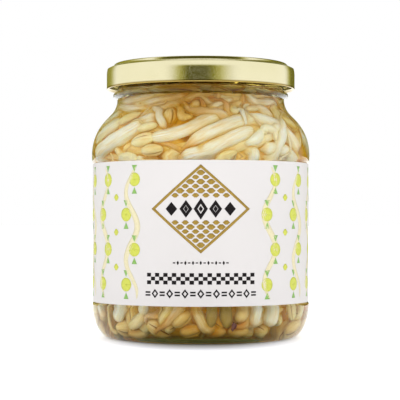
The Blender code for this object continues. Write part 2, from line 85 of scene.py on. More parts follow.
# name, root share of the length, stem radius, head radius (0 for a stem whose head has broken off), places
SPROUTS = [
    ("arch", 0.16, 2.2, 0.0, [(-11, 67.5, 0), (-3, 70, 0), (10, 73.4, 0), (23, 75.4, 0.4), (38, 76.6, 1.2), (56, 73.6, 0.4), (69, 68, 0)]),
    ("low_arch", 0.1, 2.2, 0.0, [(-11, 63, 0), (-3, 65.6, 0), (11, 69.3, 0), (24, 71.5, 0.6), (36, 72.2, 3)]),
    ("high_arch", 0.2, 2.0, 2.2, [(24, 79.6, 0.6), (8, 77.6, 0.2), (-8, 74, 0.6), (-25, 71.2, 0.2), (-42, 69.6, 0)]),
    ("thin_arch", 0.55, 1.3, 0.0, [(-6, 77.8, 2.6), (5, 80.4, 1), (14, 82.8, 0.4), (26, 84.6, 0.4)]),
    ("left_white", 0.12, 2.4, 0.0, [(-82, 66.4, 0), (-66, 69.2, 0), (-52, 71.6, 0), (-40, 74.6, 0.3), (-30, 78, 1.5)]),
    ("left_upper", 0.2, 2.2, 2.25, [(-88, 70, 0.3), (-74, 73.6, 0), (-58, 76.4, 0), (-44, 78.6, 0.4)]),
    ("strap", 0.5, 1.25, 0.0, [(-46, 84, 0.3), (-37, 81, 0), (-29.5, 77.2, 0), (-24, 74.3, 0), (-21, 72, 1.2)]),
    ("hook", 0.45, 1.7, 1.95, [(-28, 86, 0.2), (-19, 83.6, 0), (-14, 80.2, 0), (-11, 77.6, 0), (-4.5, 76.6, 0)]),
    ("dropper", 0.6, 1.3, 2.05, [(28, 70.2, 0.6), (26.5, 74, 0), (25, 77.5, 0), (24, 81, 0), (29, 83.6, 0.3)]),
    ("curl", 0.3, 1.8, 1.9, [(24, 67.6, 3), (30, 71.5, 1), (38, 74, 0), (45, 73.4, 0), (46, 70.4, 0)]),
    ("upright", 0.25, 1.8, 0.0, [(25, 56, 0.5), (27, 60.5, 0), (29, 64.5, 0), (30, 68, 0.2), (26, 71.5, 3.2)]),
    ("front_low", 0.15, 1.9, 2.1, [(0, 57, 0.4), (5, 61, 0), (12, 64.4, 0), (20, 66.4, 0.2)]),
    ("tan", 0.15, 2.1, 0.0, [(36, 67, 1), (46, 67.8, 0.6), (57, 67, 0.6), (70, 63, 0)]),
    ("end_white", 0.2, 1.9, 2.25, [(64, 54, 0), (56, 58.5, 0), (47, 62.2, 0), (39, 64.6, 0)]),
    ("sill", 0.2, 1.9, 2.2, [(-2, 57.5, 0.6), (-13, 62.3, 0.2), (-26, 64.9, 0), (-38, 66, 0), (-52, 65.4, 0)]),
    ("left_rim", 0.25, 1.9, 0.0, [(-104, 66, 0), (-92, 70.6, 0), (-80, 75.6, 0.2), (-68, 80.4, 0)]),
    ("right_rim", 0.3, 1.9, 2.2, [(98, 65, 0), (86, 69.4, 0), (74, 74, 0), (62, 78.2, 0)]),
    ("neck_left", 0.3, 1.7, 1.95, [(-92, 82, 0.3), (-66, 84.6, 0.2), (-40, 86.6, 0.2), (-16, 87.6, 0)]),
    ("neck_right", 0.35, 1.7, 1.95, [(86, 82.6, 0.3), (62, 84.4, 0.2), (44, 84.2, 0.2), (34, 87.4, 0), (14, 87.4, 0)]),
    ("low_far_left", 0.3, 1.7, 0.0, [(-64, 25, 0.2), (-68, 19, 0), (-72, 13, 0), (-68, 8.5, 0)]),
    ("low_left", 0.2, 2.3, 0.0, [(-34, 28, 0.2), (-42, 20, 0), (-49, 13.5, 0), (-56, 8, 0)]),
    ("low_slant", 0.2, 2.3, 2.25, [(-22, 26, 0.2), (-27, 19, 0), (-31, 13, 0), (-36, 8.6, 0), (-46, 6.4, 0.5)]),
    ("low_bent", 0.35, 1.9, 2.1, [(-2, 23, 0.2), (-9, 18, 0), (-16, 14, 0), (-21.5, 10.8, 0), (-23, 7, 0)]),
    ("low_reed", 0.5, 1.7, 0.0, [(40, 27, 0.2), (36, 19, 0), (33, 12, 0), (31.5, 6.5, 0)]),
    ("low_thick", 0.15, 2.6, 0.0, [(42, 30, 0.2), (44, 20, 0), (45, 12, 0), (43, 6.4, 0)]),
    ("low_right", 0.3, 1.9, 2.1, [(50, 27, 0.2), (55, 19, 0), (60, 13, 0), (64, 8, 0)]),
]

# name, half length, half width, place of the middle, degrees that the long side leans from upright
BEANS = [
    ("shoulder", 3.0, 2.25, (-23.5, 78, 0.4), 25),
    ("tooth", 3.1, 2.25, (-3.4, 81.2, 0), 5),
    ("perch", 3.3, 1.65, (37, 80.4, 0), 84),
    ("smile", 3.7, 1.6, (-34, 72.4, 0), 80),
    ("pillow", 4.0, 1.9, (-30, 68.6, 0), 86),
    ("ledge", 3.7, 2.1, (-23.5, 14.6, 0.2), 78),
    ("split", 3.8, 2.6, (-11.5, 9.2, 0), 62),
    ("rosy", 3.6, 2.0, (-6.5, 5.2, 0.2), 80),
    ("olive", 4.0, 2.1, (6.5, 9.9, 1.2), 4),
    ("olive_twin", 4.0, 2.2, (14.5, 9.9, 1.2), -4),
    ("floor_pale", 3.5, 1.9, (9, 4.6, 0.4), 88),
    ("white_round", 2.9, 2.4, (23.5, 10.4, 0.6), 30),
    ("floor_end", 3.7, 1.9, (23, 4.5, 0.4), 90),
]


def inner_radius(z):
    """The jar's inside radius at a height."""
    if z < INNER_HEEL[1]:
        share = min(0.999, (INNER_HEEL[1] - z) / INNER_HEEL[3])
        return INNER_HEEL[0] + INNER_HEEL[2] * math.sqrt(1 - share * share)
    if z < SHOULDER_Z:
        return INNER_R
    inner = SHOULDER_ARC - (SHOULDER_R - INNER_R)
    reach = NECK_ARC + WALL - 0.1
    turn = math.radians(SHOULDER_TURN)
    z1, r1 = SHOULDER_Z + inner * math.sin(turn), SHOULDER_R - SHOULDER_ARC + inner * math.cos(turn)
    z2, r2 = NECK_Z - reach * math.sin(turn), NECK_R + NECK_ARC - reach * math.cos(turn)
    if z < z1:
        return SHOULDER_R - SHOULDER_ARC + math.sqrt(inner * inner - (z - SHOULDER_Z) ** 2)
    if z < z2:
        return r1 + (r2 - r1) * (z - z1) / (z2 - z1)
    if z < NECK_Z:
        return NECK_R + NECK_ARC - math.sqrt(reach * reach - (NECK_Z - z) ** 2)
    return MOUTH_R


WALL_TABLE = np.array([inner_radius(0.25 * i) * SHORTER for i in range(400)])


def place(degrees, z, depth, radius):
    a = math.radians(degrees)
    r = inner_radius(z) * SHORTER - radius - GAP - depth
    return np.array([r * math.sin(a), -r * math.cos(a), z])


def spline(points, count):
    """Points at even steps along a smooth curve through the given ones."""
    pts = [2 * points[0] - points[1]] + list(points) + [2 * points[-1] - points[-2]]
    dense = []
    for i in range(1, len(pts) - 2):
        for j in range(16):
            t = j / 16
            a, b, c, d = pts[i - 1], pts[i], pts[i + 1], pts[i + 2]
            dense.append(
                0.5 * (2 * b + (c - a) * t + (2 * a - 5 * b + 4 * c - d) * t * t + (3 * b - a - 3 * c + d) * t**3)
            )
    dense.append(pts[-2])
    dense = np.array(dense)
    step = np.sqrt(((dense[1:] - dense[:-1]) ** 2).sum(axis=1))
    along = np.concatenate([[0.0], np.cumsum(step)])
    want = np.linspace(0, along[-1], count)
    return np.stack([np.interp(want, along, dense[:, k]) for k in range(3)], axis=1), along[-1]


def sprout_radii(length, root, stem, head):
    """Radius at each bead: a root tail, a plump stem, and a pair of seed leaves at the end."""
    out = []
    for k in range(BEADS):
        t = k / (BEADS - 1)
        r = stem
        if t < root:
            u = t / root
            r = 0.55 + (stem - 0.55) * u * u * (3 - 2 * u)
        left = (1 - t) * length
        if head:
            if left < 8.4:
                u = (left - 4.3) / 4.3
                r = max(0.5, head * math.sqrt(max(0.0, 1 - u * u)))
                r = max(r, stem * 0.8) if left > 5.8 else r
            elif left < 12:
                r = min(r, stem * 0.8 + (stem * 0.2) * (left - 8.4) / 3.6)
        elif left < 2.5:
            r = min(r, stem * math.sqrt(max(0.1, 1 - ((2.5 - left) / 2.6) ** 2)))
        out.append(r)
    return out


def chains():
    """Names, bead centres and bead radii of everything in the jar, as first laid."""
    names, centres, radii, halves = [], [], [], []
    for name, root, stem, head, places in SPROUTS:
        line, length = spline([place(*p, stem) for p in places], BEADS)
        names.append("sprout_" + name)
        centres.append(line)
        radii.append(sprout_radii(length, root, stem, head))
        halves.append(0.0)
    for name, half, width, at, lean in BEANS:
        middle = place(*at, width)
        a = math.radians(at[0])
        right = np.array([math.cos(a), math.sin(a), 0.0])
        axis = right * math.sin(math.radians(lean)) + np.array([0, 0, 1.0]) * math.cos(math.radians(lean))
        share = np.linspace(-1, 1, BEADS)
        names.append("bean_" + name)
        centres.append(middle + axis * share[:, None] * (half - 0.5))
        radii.append([max(0.6, width * math.sqrt(1 - (0.97 * u) ** 2)) for u in share])
        halves.append(half - 0.5)
    # the ones at the back and in the middle follow a rule: they climb and turn in alternate directions
    rng = np.random.default_rng(7)
    for i in range(BACK_COUNT):
        start = 112 + 136 * (i % 8) / 7 + rng.uniform(-5, 5)
        z = 13 + 60 * (i // 8) / max(1, (BACK_COUNT - 1) // 8) + rng.uniform(-2, 2)
        way = 1 if i % 2 else -1
        depth = 0.5 + 7.0 * (i % 3 == 1)
        stem = rng.uniform(1.8, 2.4)
        places = [(start + way * 15 * k, z + rng.uniform(2.6, 4.6) * k, depth) for k in range(-2, 3)]
        places = [(a, min(max(h, 7.0), 84.0), d) for a, h, d in places]
        line, length = spline([place(*p, stem) for p in places], BEADS)
        names.append(f"sprout_back_{i + 1:02d}")
        centres.append(line)
        radii.append(sprout_radii(length, rng.uniform(0.2, 0.4), stem, 2.25 if i % 3 else 0.0))
        halves.append(0.0)
    return names, np.array(centres), np.array(radii), halves


def keep_inside(p, r):
    """Moves beads back inside the jar, off its wall, its floor and the lid."""
    across = np.clip(1 - (np.sqrt(p[..., 0] ** 2 + p[..., 1] ** 2) / 27.0) ** 2, 0, 1)
    z = np.clip(p[..., 2], FLOOR_Z + FLOOR_RISE * across + GAP + r, FILL_Z - r)
    i = z / 0.25
    low = i.astype(int)
    wall = WALL_TABLE[low] + (WALL_TABLE[low + 1] - WALL_TABLE[low]) * (i - low)
    # a bead near a sloping wall touches it beside its own height
    for shift in (-0.7, 0.7):
        j = np.clip((z + shift * r) / 0.25, 0, 397)
        at = j.astype(int)
        w = WALL_TABLE[at] + (WALL_TABLE[at + 1] - WALL_TABLE[at]) * (j - at)
        wall = np.minimum(wall, w + r * 0.29)
    limit = wall - r - GAP
    flat = np.sqrt(p[..., 0] ** 2 + p[..., 1] ** 2)
    scale = np.minimum(1.0, limit / np.maximum(flat, 1e-6))
    p[..., 0] *= scale
    p[..., 1] *= scale
    p[..., 2] = z


def straighten(p, halves):
    """A bean is stiff: its beads go back on one straight line."""
    share = np.linspace(-1, 1, BEADS)
    for c, half in enumerate(halves):
        if half:
            middle = p[c].sum(axis=0) / BEADS
            axis = (p[c] * share[:, None]).sum(axis=0)
            p[c] = middle + axis / math.sqrt(axis[0] ** 2 + axis[1] ** 2 + axis[2] ** 2) * share[:, None] * half


def settle(p, r, halves, rounds):
    """Pushes the chains apart, and keeps their lengths, their bends and the jar's wall."""
    chain_count, n = r.shape
    owner = np.repeat(np.arange(chain_count), n)
    rest = np.sqrt(((p[:, 1:] - p[:, :-1]) ** 2).sum(axis=2))
    bend = p[:, 1:-1] - 0.5 * (p[:, :-2] + p[:, 2:])
    home = p.copy()
    flat_r = r.reshape(-1)
    for turn in range(rounds):
        q = p.reshape(-1, 3)
        if turn % 6 == 0:
            sq = ((q[:, None, :] - q[None, :, :]) ** 2).sum(axis=2)
            near = (sq < (flat_r[:, None] + flat_r[None, :] + GAP + 3.0) ** 2) & (owner[:, None] < owner[None, :])
            i, j = np.nonzero(near)
        gap = q[j] - q[i]
        dist = np.sqrt(gap[:, 0] ** 2 + gap[:, 1] ** 2 + gap[:, 2] ** 2)
        over = flat_r[i] + flat_r[j] + GAP * 1.25 - dist
        hit = over > 0
        push = gap[hit] * (0.5 * over[hit] / np.maximum(dist[hit], 1e-6))[:, None]
        moved = np.zeros_like(q)
        for k in range(3):
            moved[:, k] += np.bincount(j[hit], push[:, k], len(q)) - np.bincount(i[hit], push[:, k], len(q))
        count = np.bincount(i[hit], minlength=len(q)) + np.bincount(j[hit], minlength=len(q))
        q += moved / np.maximum(1, count)[:, None] * 0.9
        p = q.reshape(chain_count, n, 3)
        p += 0.01 * (home - p) * (turn < rounds * 0.6)
        p[:, 1:-1] += 0.35 * (0.5 * (p[:, :-2] + p[:, 2:]) + bend - p[:, 1:-1])
        for first in (0, 1, 0, 1):
            a, b = p[:, first:-1:2], p[:, first + 1 :: 2]
            d = b - a
            length = np.sqrt((d**2).sum(axis=2))
            fix = d * (0.5 * (length - rest[:, first::2]) / np.maximum(length, 1e-6))[..., None]
            a += fix
            b -= fix
        straighten(p, halves)
        keep_inside(p, r)
    straighten(p, halves)
    return p


FILL_COUNT, NECK_COUNT, BEAN_COUNT, ROOT_COUNT = 276, 30, 44, 46


def loose_chains():
    """Sprouts, split beans and thin root ends all through the jar, lying mostly round it."""
    rng = np.random.default_rng(23)
    lines, radii, halves, facts = [], [], [], []
    share = np.linspace(-1, 1, BEADS)

    def frame_at(z, deep):
        a = rng.uniform(0, 2 * math.pi)
        rho = max(2.0, (inner_radius(z) - 3.0) * deep)
        n = np.array([math.sin(a), -math.cos(a), 0.0])
        return n * rho + [0, 0, z], n, np.array([math.cos(a), math.sin(a), 0.0]), np.array([0.0, 0.0, 1.0]), rho

    for i in range(FILL_COUNT + NECK_COUNT):
        high = i >= FILL_COUNT
        z = 81.0 + 9.0 * ((i * 0.618034) % 1.0) if high else 6.5 + 77.0 * ((i * 0.618034) % 1.0)
        deep = rng.uniform(0.8, 1.0) if high else rng.uniform(0.02, 1.0) ** 0.33
        c, n, t, up, rho = frame_at(z, deep)
        lean = math.radians(rng.normal(62, 16) if z < 17 else rng.normal(0, 7 if high else 26)) * (1 if rng.uniform() < 0.5 else -1)
        d = math.cos(lean) * t + math.sin(lean) * up + rng.uniform(-0.18, 0.18) * n
        length = rng.uniform(30, 54) if z > 17 else rng.uniform(24, 36)
        s = share * length / 2
        bend = -n / max(rho, 14.0) * math.cos(lean) ** 2 + rng.normal(0, 0.014, 3)
        twist = rng.normal(0, 0.0004, 3)
        line = c + d * s[:, None] + bend * (s**2)[:, None] / 2 + twist * (s**3)[:, None]
        stem, root = rng.uniform(1.65, 2.45), rng.uniform(0.18, 0.42)
        head = rng.uniform(2.1, 2.6) if rng.uniform() < (0.25 if high else 0.5) else 0.0
        curl = np.clip(1 - (share + 1) / 2 / root, 0, 1) ** 1.5
        side = np.cross(d, n)
        line = line + (side * np.sin(6 * curl)[:, None] + n * (1 - np.cos(5 * curl))[:, None]) * rng.uniform(0.6, 2.0)
        lines.append(line)
        radii.append(sprout_radii(length, root, stem, head))
        halves.append(0.0)
        facts.append(("sprout", root, stem, head))
    for i in range(BEAN_COUNT):
        z = 5.6 + (80 * rng.uniform() if i % 7 == 0 else 8 * rng.uniform())
        c, n, t, up, rho = frame_at(z, rng.uniform(0.3, 1.0) ** (0.4 if i % 2 else 0.7))
        if i >= BEAN_COUNT - 14:
            a = 2 * math.pi * (i + rng.uniform(0, 0.8)) / 14
            c = np.array([32.0 * math.sin(a), -32.0 * math.cos(a), 5.4])
        d = rng.normal(0, 1, 3) * [1, 1, 0.4]
        d /= math.sqrt(d[0] ** 2 + d[1] ** 2 + d[2] ** 2)
        half, width = rng.uniform(3.7, 4.9), rng.uniform(1.75, 2.35)
        lines.append(c + d * share[:, None] * (half - 0.5))
        radii.append([max(0.6, width * math.sqrt(1 - (0.97 * u) ** 2)) for u in share])
        halves.append(half - 0.5)
        facts.append(("bean", 0, width, half))
    for i in range(ROOT_COUNT):
        z = 58 + 30 * ((i * 0.618034) % 1.0) if i % 4 else rng.uniform(5, 14)
        c, n, t, up, rho = frame_at(z, rng.uniform(0.93, 1.0))
        lean = rng.uniform(-1.1, 1.1)
        d = math.cos(lean) * t + math.sin(lean) * up
        length = rng.uniform(14, 30)
        s = share * length / 2
        side = np.cross(d, n)
        wave = rng.uniform(1.0, 2.6) * np.sin(share * rng.uniform(2.0, 5.5) + rng.uniform(0, 6))
        line = c + d * s[:, None] + side * wave[:, None] - n * (s**2)[:, None] / 2 / max(rho, 14) * math.cos(lean) ** 2
        lines.append(line)
        thick = rng.uniform(0.45, 0.8)
        radii.append([thick * (0.55 + 0.45 * (u + 1) / 2) for u in share])
        halves.append(0.0)
        facts.append(("root", 1.0, thick, 0.0))
    return np.array(lines), np.array(radii), halves, facts


def settle_loose(p, r, halves, held_count, rounds):
    """As settle(), for more chains, round the ones that stay where the solids are."""
    count, n = r.shape
    held = p[:held_count].copy()
    owner = np.repeat(np.arange(count), n)
    rest = np.sqrt(((p[:, 1:] - p[:, :-1]) ** 2).sum(axis=2))
    bend = p[:, 1:-1] - 0.5 * (p[:, :-2] + p[:, 2:])
    flat_r = r.reshape(-1)
    stiff = [0.0] * held_count + list(halves[held_count:])
    for turn in range(rounds):
        q = p.reshape(-1, 3)
        if turn % 8 == 0:
            tree = kdtree.KDTree(len(q))
            for k, at in enumerate(q):
                tree.insert(at, k)
            tree.balance()
            first, second = [], []
            for k in range(len(q)):
                own = owner[k]
                for _, m, _ in tree.find_range(q[k], flat_r[k] + 4.0):
                    if m > k and owner[m] != own:
                        first.append(k)
                        second.append(m)
            i, j = np.array(first), np.array(second)
        gap = q[j] - q[i]
        dist = np.sqrt(gap[:, 0] ** 2 + gap[:, 1] ** 2 + gap[:, 2] ** 2)
        over = 0.9 * (flat_r[i] + flat_r[j]) - dist
        hit = over > 0
        push = gap[hit] * (0.5 * over[hit] / np.maximum(dist[hit], 1e-6))[:, None]
        moved = np.zeros_like(q)
        for k in range(3):
            moved[:, k] += np.bincount(j[hit], push[:, k], len(q)) - np.bincount(i[hit], push[:, k], len(q))
        touched = np.bincount(i[hit], minlength=len(q)) + np.bincount(j[hit], minlength=len(q))
        q += moved / np.maximum(1, touched)[:, None] * 1.3
        p = q.reshape(count, n, 3)
        p[:, 1:-1] += 0.3 * (0.5 * (p[:, :-2] + p[:, 2:]) + bend - p[:, 1:-1])
        for start in (0, 1, 0, 1):
            a, b = p[:, start:-1:2], p[:, start + 1 :: 2]
            d = b - a
            length = np.sqrt((d**2).sum(axis=2))
            fix = d * (0.5 * (length - rest[:, start::2]) / np.maximum(length, 1e-6))[..., None]
            a += fix
            b -= fix
        straighten(p, stiff)
        keep_inside(p, r)
        p[:held_count] = held
    straighten(p, stiff)
    return p


# ---- mesh and material helpers ---------------------------------------------------------------------------------
def mesh_object(name, verts, faces, mat, uv=None, sort=None, smooth=True, sharp=None, crowd=None):
    """verts in mm. uv, sort and crowd hold one value for each vertex."""
    mesh = bpy.data.meshes.new(name)
    mesh.from_pydata((np.asarray(verts, float) * MM).tolist(), [], faces)
    mesh.update()
    if smooth:
        mesh.shade_smooth()
    if sharp:
        mesh.set_sharp_from_angle(angle=math.radians(sharp))
    loops = np.zeros(len(mesh.loops), np.int32)
    mesh.loops.foreach_get("vertex_index", loops)
    if uv is not None:
        layer = mesh.uv_layers.new(name="UVMap")
        layer.data.foreach_set("uv", np.asarray(uv, np.float32)[loops].reshape(-1))
    if sort is not None:
        layer = mesh.color_attributes.new("sort", "FLOAT_COLOR", "POINT")
        layer.data.foreach_set("color", np.asarray(sort, np.float32).reshape(-1))
    if crowd is not None:
        layer = mesh.color_attributes.new("crowd", "FLOAT_COLOR", "POINT")
        layer.data.foreach_set("color", np.repeat(np.asarray(crowd, np.float32), 4))
    mesh.materials.append(mat)
    obj = bpy.data.objects.new(name, mesh)
    bpy.context.scene.collection.objects.link(obj)
    return obj


class Nodes:
    """A material and short ways to add its nodes."""

    def __init__(self, name):
        self.mat = bpy.data.materials.new(name)
        self.mat.use_nodes = True
        self.tree = self.mat.node_tree
        self.shader = self.tree.nodes["Principled BSDF"]
        self.out = self.tree.nodes["Material Output"]

    def add(self, kind, **values):
        node = self.tree.nodes.new(kind)
        for key, value in values.items():
            if hasattr(node, key):
                setattr(node, key, value)
            else:
                node.inputs[key.replace("_", " ")].default_value = value
        return node

    def link(self, a, b):
        self.tree.links.new(a, b)

    def set(self, **values):
        for key, value in values.items():
            self.shader.inputs[key.replace("_", " ")].default_value = value

    def math(self, operation, a, b=None, clamp=False):
        node = self.tree.nodes.new("ShaderNodeMath")
        node.operation, node.use_clamp = operation, clamp
        for k, value in enumerate((a, b)):
            if value is None:
                continue
            if hasattr(value, "is_output"):
                self.link(value, node.inputs[k])
            else:
                node.inputs[k].default_value = value
        return node.outputs[0]

    def mix(self, fac, a, b, blend="MIX"):
        node = self.tree.nodes.new("ShaderNodeMix")
        node.data_type, node.blend_type = "RGBA", blend
        for k, value in ((0, fac), (6, a), (7, b)):
            if hasattr(value, "is_output"):
                self.link(value, node.inputs[k])
            elif k == 0:
                node.inputs[k].default_value = value
            else:
                node.inputs[k].default_value = (*value, 1)
        return node.outputs[2]

    def ramp(self, fac, stops):
        node = self.tree.nodes.new("ShaderNodeValToRGB")
        while len(node.color_ramp.elements) < len(stops):
            node.color_ramp.elements.new(0.5)
        for element, (at, colour) in zip(node.color_ramp.elements, stops):
            element.position = at
            element.color = (*colour, 1) if len(colour) == 3 else colour
        self.link(fac, node.inputs[0])
        return node.outputs[0]

    def noise(self, scale, detail=2.0, rough=0.5, vector=None, coords="Object"):
        node = self.tree.nodes.new("ShaderNodeTexNoise")
        node.inputs["Scale"].default_value = scale
        node.inputs["Detail"].default_value = detail
        node.inputs["Roughness"].default_value = rough
        if vector is None:
            where = self.tree.nodes.new("ShaderNodeTexCoord")
            vector = where.outputs[coords]
        self.link(vector, node.inputs["Vector"])
        return node.outputs[0]

    def scaled(self, vector, scale):
        node = self.tree.nodes.new("ShaderNodeMapping")
        node.inputs["Scale"].default_value = scale
        self.link(vector, node.inputs["Vector"])
        return node.outputs[0]

    def bump(self, height, strength, distance):
        node = self.tree.nodes.new("ShaderNodeBump")
        node.inputs["Strength"].default_value = strength
        node.inputs["Distance"].default_value = distance
        self.link(height, node.inputs["Height"])
        self.link(node.outputs[0], self.shader.inputs["Normal"])
        return node


def let_light_through(m):
    """Lamps and sky light the things behind this clear surface."""
    path = m.add("ShaderNodeLightPath")
    clear = m.add("ShaderNodeBsdfTransparent")
    both = m.add("ShaderNodeMixShader")
    m.link(path.outputs["Is Shadow Ray"], both.inputs[0])
    m.link(m.shader.outputs[0], both.inputs[1])
    m.link(clear.outputs[0], both.inputs[2])
    m.link(both.outputs[0], m.out.inputs["Surface"])


# ---- materials -------------------------------------------------------------------------------------------------
def clear_material(name, dry, wet, colour, density, wavy):
    """A clear body. Its surface bends light as it does against air, or less where glass and brine meet."""
    m = Nodes(name)
    m.set(Base_Color=(1, 1, 1, 1), Roughness=0.0, Transmission_Weight=1.0, Specular_Tint=(0.52, 0.50, 0.38, 1))
    where = m.add("ShaderNodeAttribute", attribute_name="sort")
    change = m.add("ShaderNodeMapRange")
    parts = m.add("ShaderNodeSeparateColor")
    m.link(where.outputs["Color"], parts.inputs[0])
    m.link(parts.outputs[0], change.inputs[0])
    for k, value in zip((1, 2, 3, 4), (0.45, 0.55, dry, wet)):
        change.inputs[k].default_value = value
    ground = m.add("ShaderNodeMapRange")
    m.link(parts.outputs[1], ground.inputs[0])
    for k, value in zip((1, 2, 3, 4), (0.75, 0.85, 0.0, dry - 1.0)):
        ground.inputs[k].default_value = value
    m.link(m.math("SUBTRACT", change.outputs[0], ground.outputs[0]), m.shader.inputs["IOR"])
    # painted shade: the underside and the bead are coloured dark olive
    m.link(m.mix(parts.outputs[1], (1, 1, 1), (0.30, 0.35, 0.06)), m.shader.inputs["Base Color"])
    if wavy:
        m.bump(m.noise(42, 1.0), wavy, 0.0012)
    volume = m.add("ShaderNodeVolumeAbsorption")
    volume.inputs["Color"].default_value = (*colour, 1)
    volume.inputs["Density"].default_value = density
    m.link(volume.outputs[0], m.out.inputs["Volume"])
    let_light_through(m)
    return m.mat


def flesh_material():
    m = Nodes("sprout_flesh")
    sort = m.add("ShaderNodeAttribute", attribute_name="sort")
    parts = m.add("ShaderNodeSeparateColor")
    m.link(sort.outputs["Color"], parts.inputs[0])
    tone, chance, olive = parts.outputs[0], parts.outputs[1], parts.outputs[2]
    base = m.ramp(
        tone,
        [
            (0.0, (0.62, 0.36, 0.15)),
            (0.14, (0.88, 0.66, 0.38)),
            (0.34, (0.98, 0.93, 0.82)),
            (0.52, (0.99, 0.975, 0.955)),
            (0.70, (0.98, 0.94, 0.80)),
            (0.86, (0.98, 0.88, 0.60)),
            (1.0, (0.97, 0.84, 0.50)),
        ],
    )
    warm = m.mix(m.math("MULTIPLY", m.math("MULTIPLY", chance, chance), 0.7), base, (0.93, 0.78, 0.56), "MULTIPLY")
    where = m.add("ShaderNodeTexCoord")
    blotch = m.noise(240, 3.0, 0.55)
    mottled = m.mix(m.math("MULTIPLY", m.ramp(blotch, [(0.35, (0, 0, 0)), (0.75, (1, 1, 1))]), 0.5), warm, (0.95, 0.86, 0.66), "MULTIPLY")
    streak = m.noise(1.0, 3.0, 0.6, m.scaled(where.outputs["UV"], (1.6, 11, 1)))
    fine = m.noise(1.0, 2.0, 0.5, m.scaled(where.outputs["UV"], (0.7, 26, 1)))
    lined = m.mix(m.ramp(streak, [(0.42, (0, 0, 0)), (0.70, (0.75, 0.75, 0.75))]), mottled, (0.88, 0.70, 0.36), "MULTIPLY")
    lined = m.mix(m.ramp(fine, [(0.48, (0, 0, 0)), (0.72, (0.65, 0.65, 0.65))]), lined, (0.86, 0.70, 0.40), "MULTIPLY")
    # painted shade: the groove of the split between the seed leaves is coloured dark brown
    u_v = m.add("ShaderNodeSeparateXYZ")
    m.link(where.outputs["UV"], u_v.inputs[0])
    aside = m.math("ABSOLUTE", m.math("SUBTRACT", u_v.outputs[1], 0.5))
    crease = m.math("MULTIPLY", m.math("SUBTRACT", 1.0, sort.outputs["Alpha"]), m.ramp(aside, [(0.012, (1, 1, 1)), (0.05, (0, 0, 0))]))
    lined = m.mix(crease, lined, (0.45, 0.26, 0.08), "MULTIPLY")
    # painted shade: the flesh is coloured darker and more amber the deeper it lies in the brine, inside from the jar's
    # wall, standing for the brine's amber shade deep in the jar
    x_y_z = m.add("ShaderNodeSeparateXYZ")
    m.link(where.outputs["Object"], x_y_z.inputs[0])
    x, y, z = x_y_z.outputs
    out = m.math("SQRT", m.math("ADD", m.math("MULTIPLY", x, x), m.math("MULTIPLY", y, y)))
    shoulder = m.add("ShaderNodeMapRange", interpolation_type="SMOOTHSTEP")
    heel = m.add("ShaderNodeMapRange", interpolation_type="SMOOTHSTEP")
    for node, values in ((shoulder, (0.066, 0.088, 0.0, 0.0089)), (heel, (0.0145, 0.0035, 0.0, 0.0067))):
        m.link(z, node.inputs[0])
        for k, value in zip((1, 2, 3, 4), values):
            node.inputs[k].default_value = value
    wall = m.math("SUBTRACT", m.math("SUBTRACT", 0.0372, shoulder.outputs[0]), heel.outputs[0])
    depth = m.math("MULTIPLY", m.math("SUBTRACT", wall, out), 50.0)
    deep = m.ramp(depth, [(0.15, (1, 1, 1)), (0.26, (0.97, 0.88, 0.48)), (0.40, (0.89, 0.75, 0.18)), (0.75, (0.78, 0.60, 0.05))])
    shaded_flesh = m.mix(1.0, lined, deep, "MULTIPLY")
    # painted shade: an ochre darkening where another piece touches this one or lies close
    crowd = m.add("ShaderNodeAttribute", attribute_name="crowd")
    shaded_flesh = m.mix(m.ramp(crowd.outputs["Fac"], [(0.15, (0, 0, 0)), (1.0, (0.8, 0.8, 0.8))]), shaded_flesh, (0.94, 0.80, 0.40), "MULTIPLY")
    # whiter stems round four places at the sides
    for middle, reach, share in (((0.024, -0.028, 0.071), 0.020, 0.42), ((-0.027, -0.026, 0.068), 0.015, 0.28), ((-0.026, -0.026, 0.011), 0.015, 0.22), ((0.027, -0.025, 0.011), 0.015, 0.22)):
        apart = m.add("ShaderNodeVectorMath", operation="DISTANCE")
        m.link(where.outputs["Object"], apart.inputs[0])
        apart.inputs[1].default_value = middle
        whiter_spot = m.add("ShaderNodeMapRange", interpolation_type="SMOOTHSTEP")
        m.link(apart.outputs["Value"], whiter_spot.inputs[0])
        for k, value in zip((1, 2, 3, 4), (0.25 * reach, reach, share, 0.0)):
            whiter_spot.inputs[k].default_value = value
        shaded_flesh = m.mix(whiter_spot.outputs[0], shaded_flesh, (0.99, 0.98, 0.93))
    # painted shade: darker, mottled amber flesh round five places, low at the front, at the neck, at the left and low
    # at the back and right
    for middle, near, reach, tint in (
        ((0.003, -0.034, 0.009), 0.003, 0.021, (0.84, 0.60, 0.17)),
        ((-0.005, -0.029, 0.085), 0.002, 0.016, (0.74, 0.52, 0.14)),
        ((-0.037, 0.004, 0.070), 0.003, 0.014, (0.86, 0.70, 0.32)),
        ((0.012, 0.035, 0.012), 0.003, 0.018, (0.84, 0.66, 0.28)),
        ((0.036, 0.010, 0.010), 0.003, 0.016, (0.86, 0.70, 0.32)),
    ):
        apart = m.add("ShaderNodeVectorMath", operation="DISTANCE")
        m.link(where.outputs["Object"], apart.inputs[0])
        apart.inputs[1].default_value = middle
        amber_shade = m.add("ShaderNodeMapRange", interpolation_type="SMOOTHSTEP")
        m.link(apart.outputs["Value"], amber_shade.inputs[0])
        for k, value in zip((1, 2, 3, 4), (near, reach, 1.0, 0.0)):
            amber_shade.inputs[k].default_value = value
        shaded_flesh = m.mix(m.math("MULTIPLY", amber_shade.outputs[0], m.ramp(blotch, [(0.3, (0.55,) * 3), (0.6, (1, 1, 1))])), shaded_flesh, tint, "MULTIPLY")
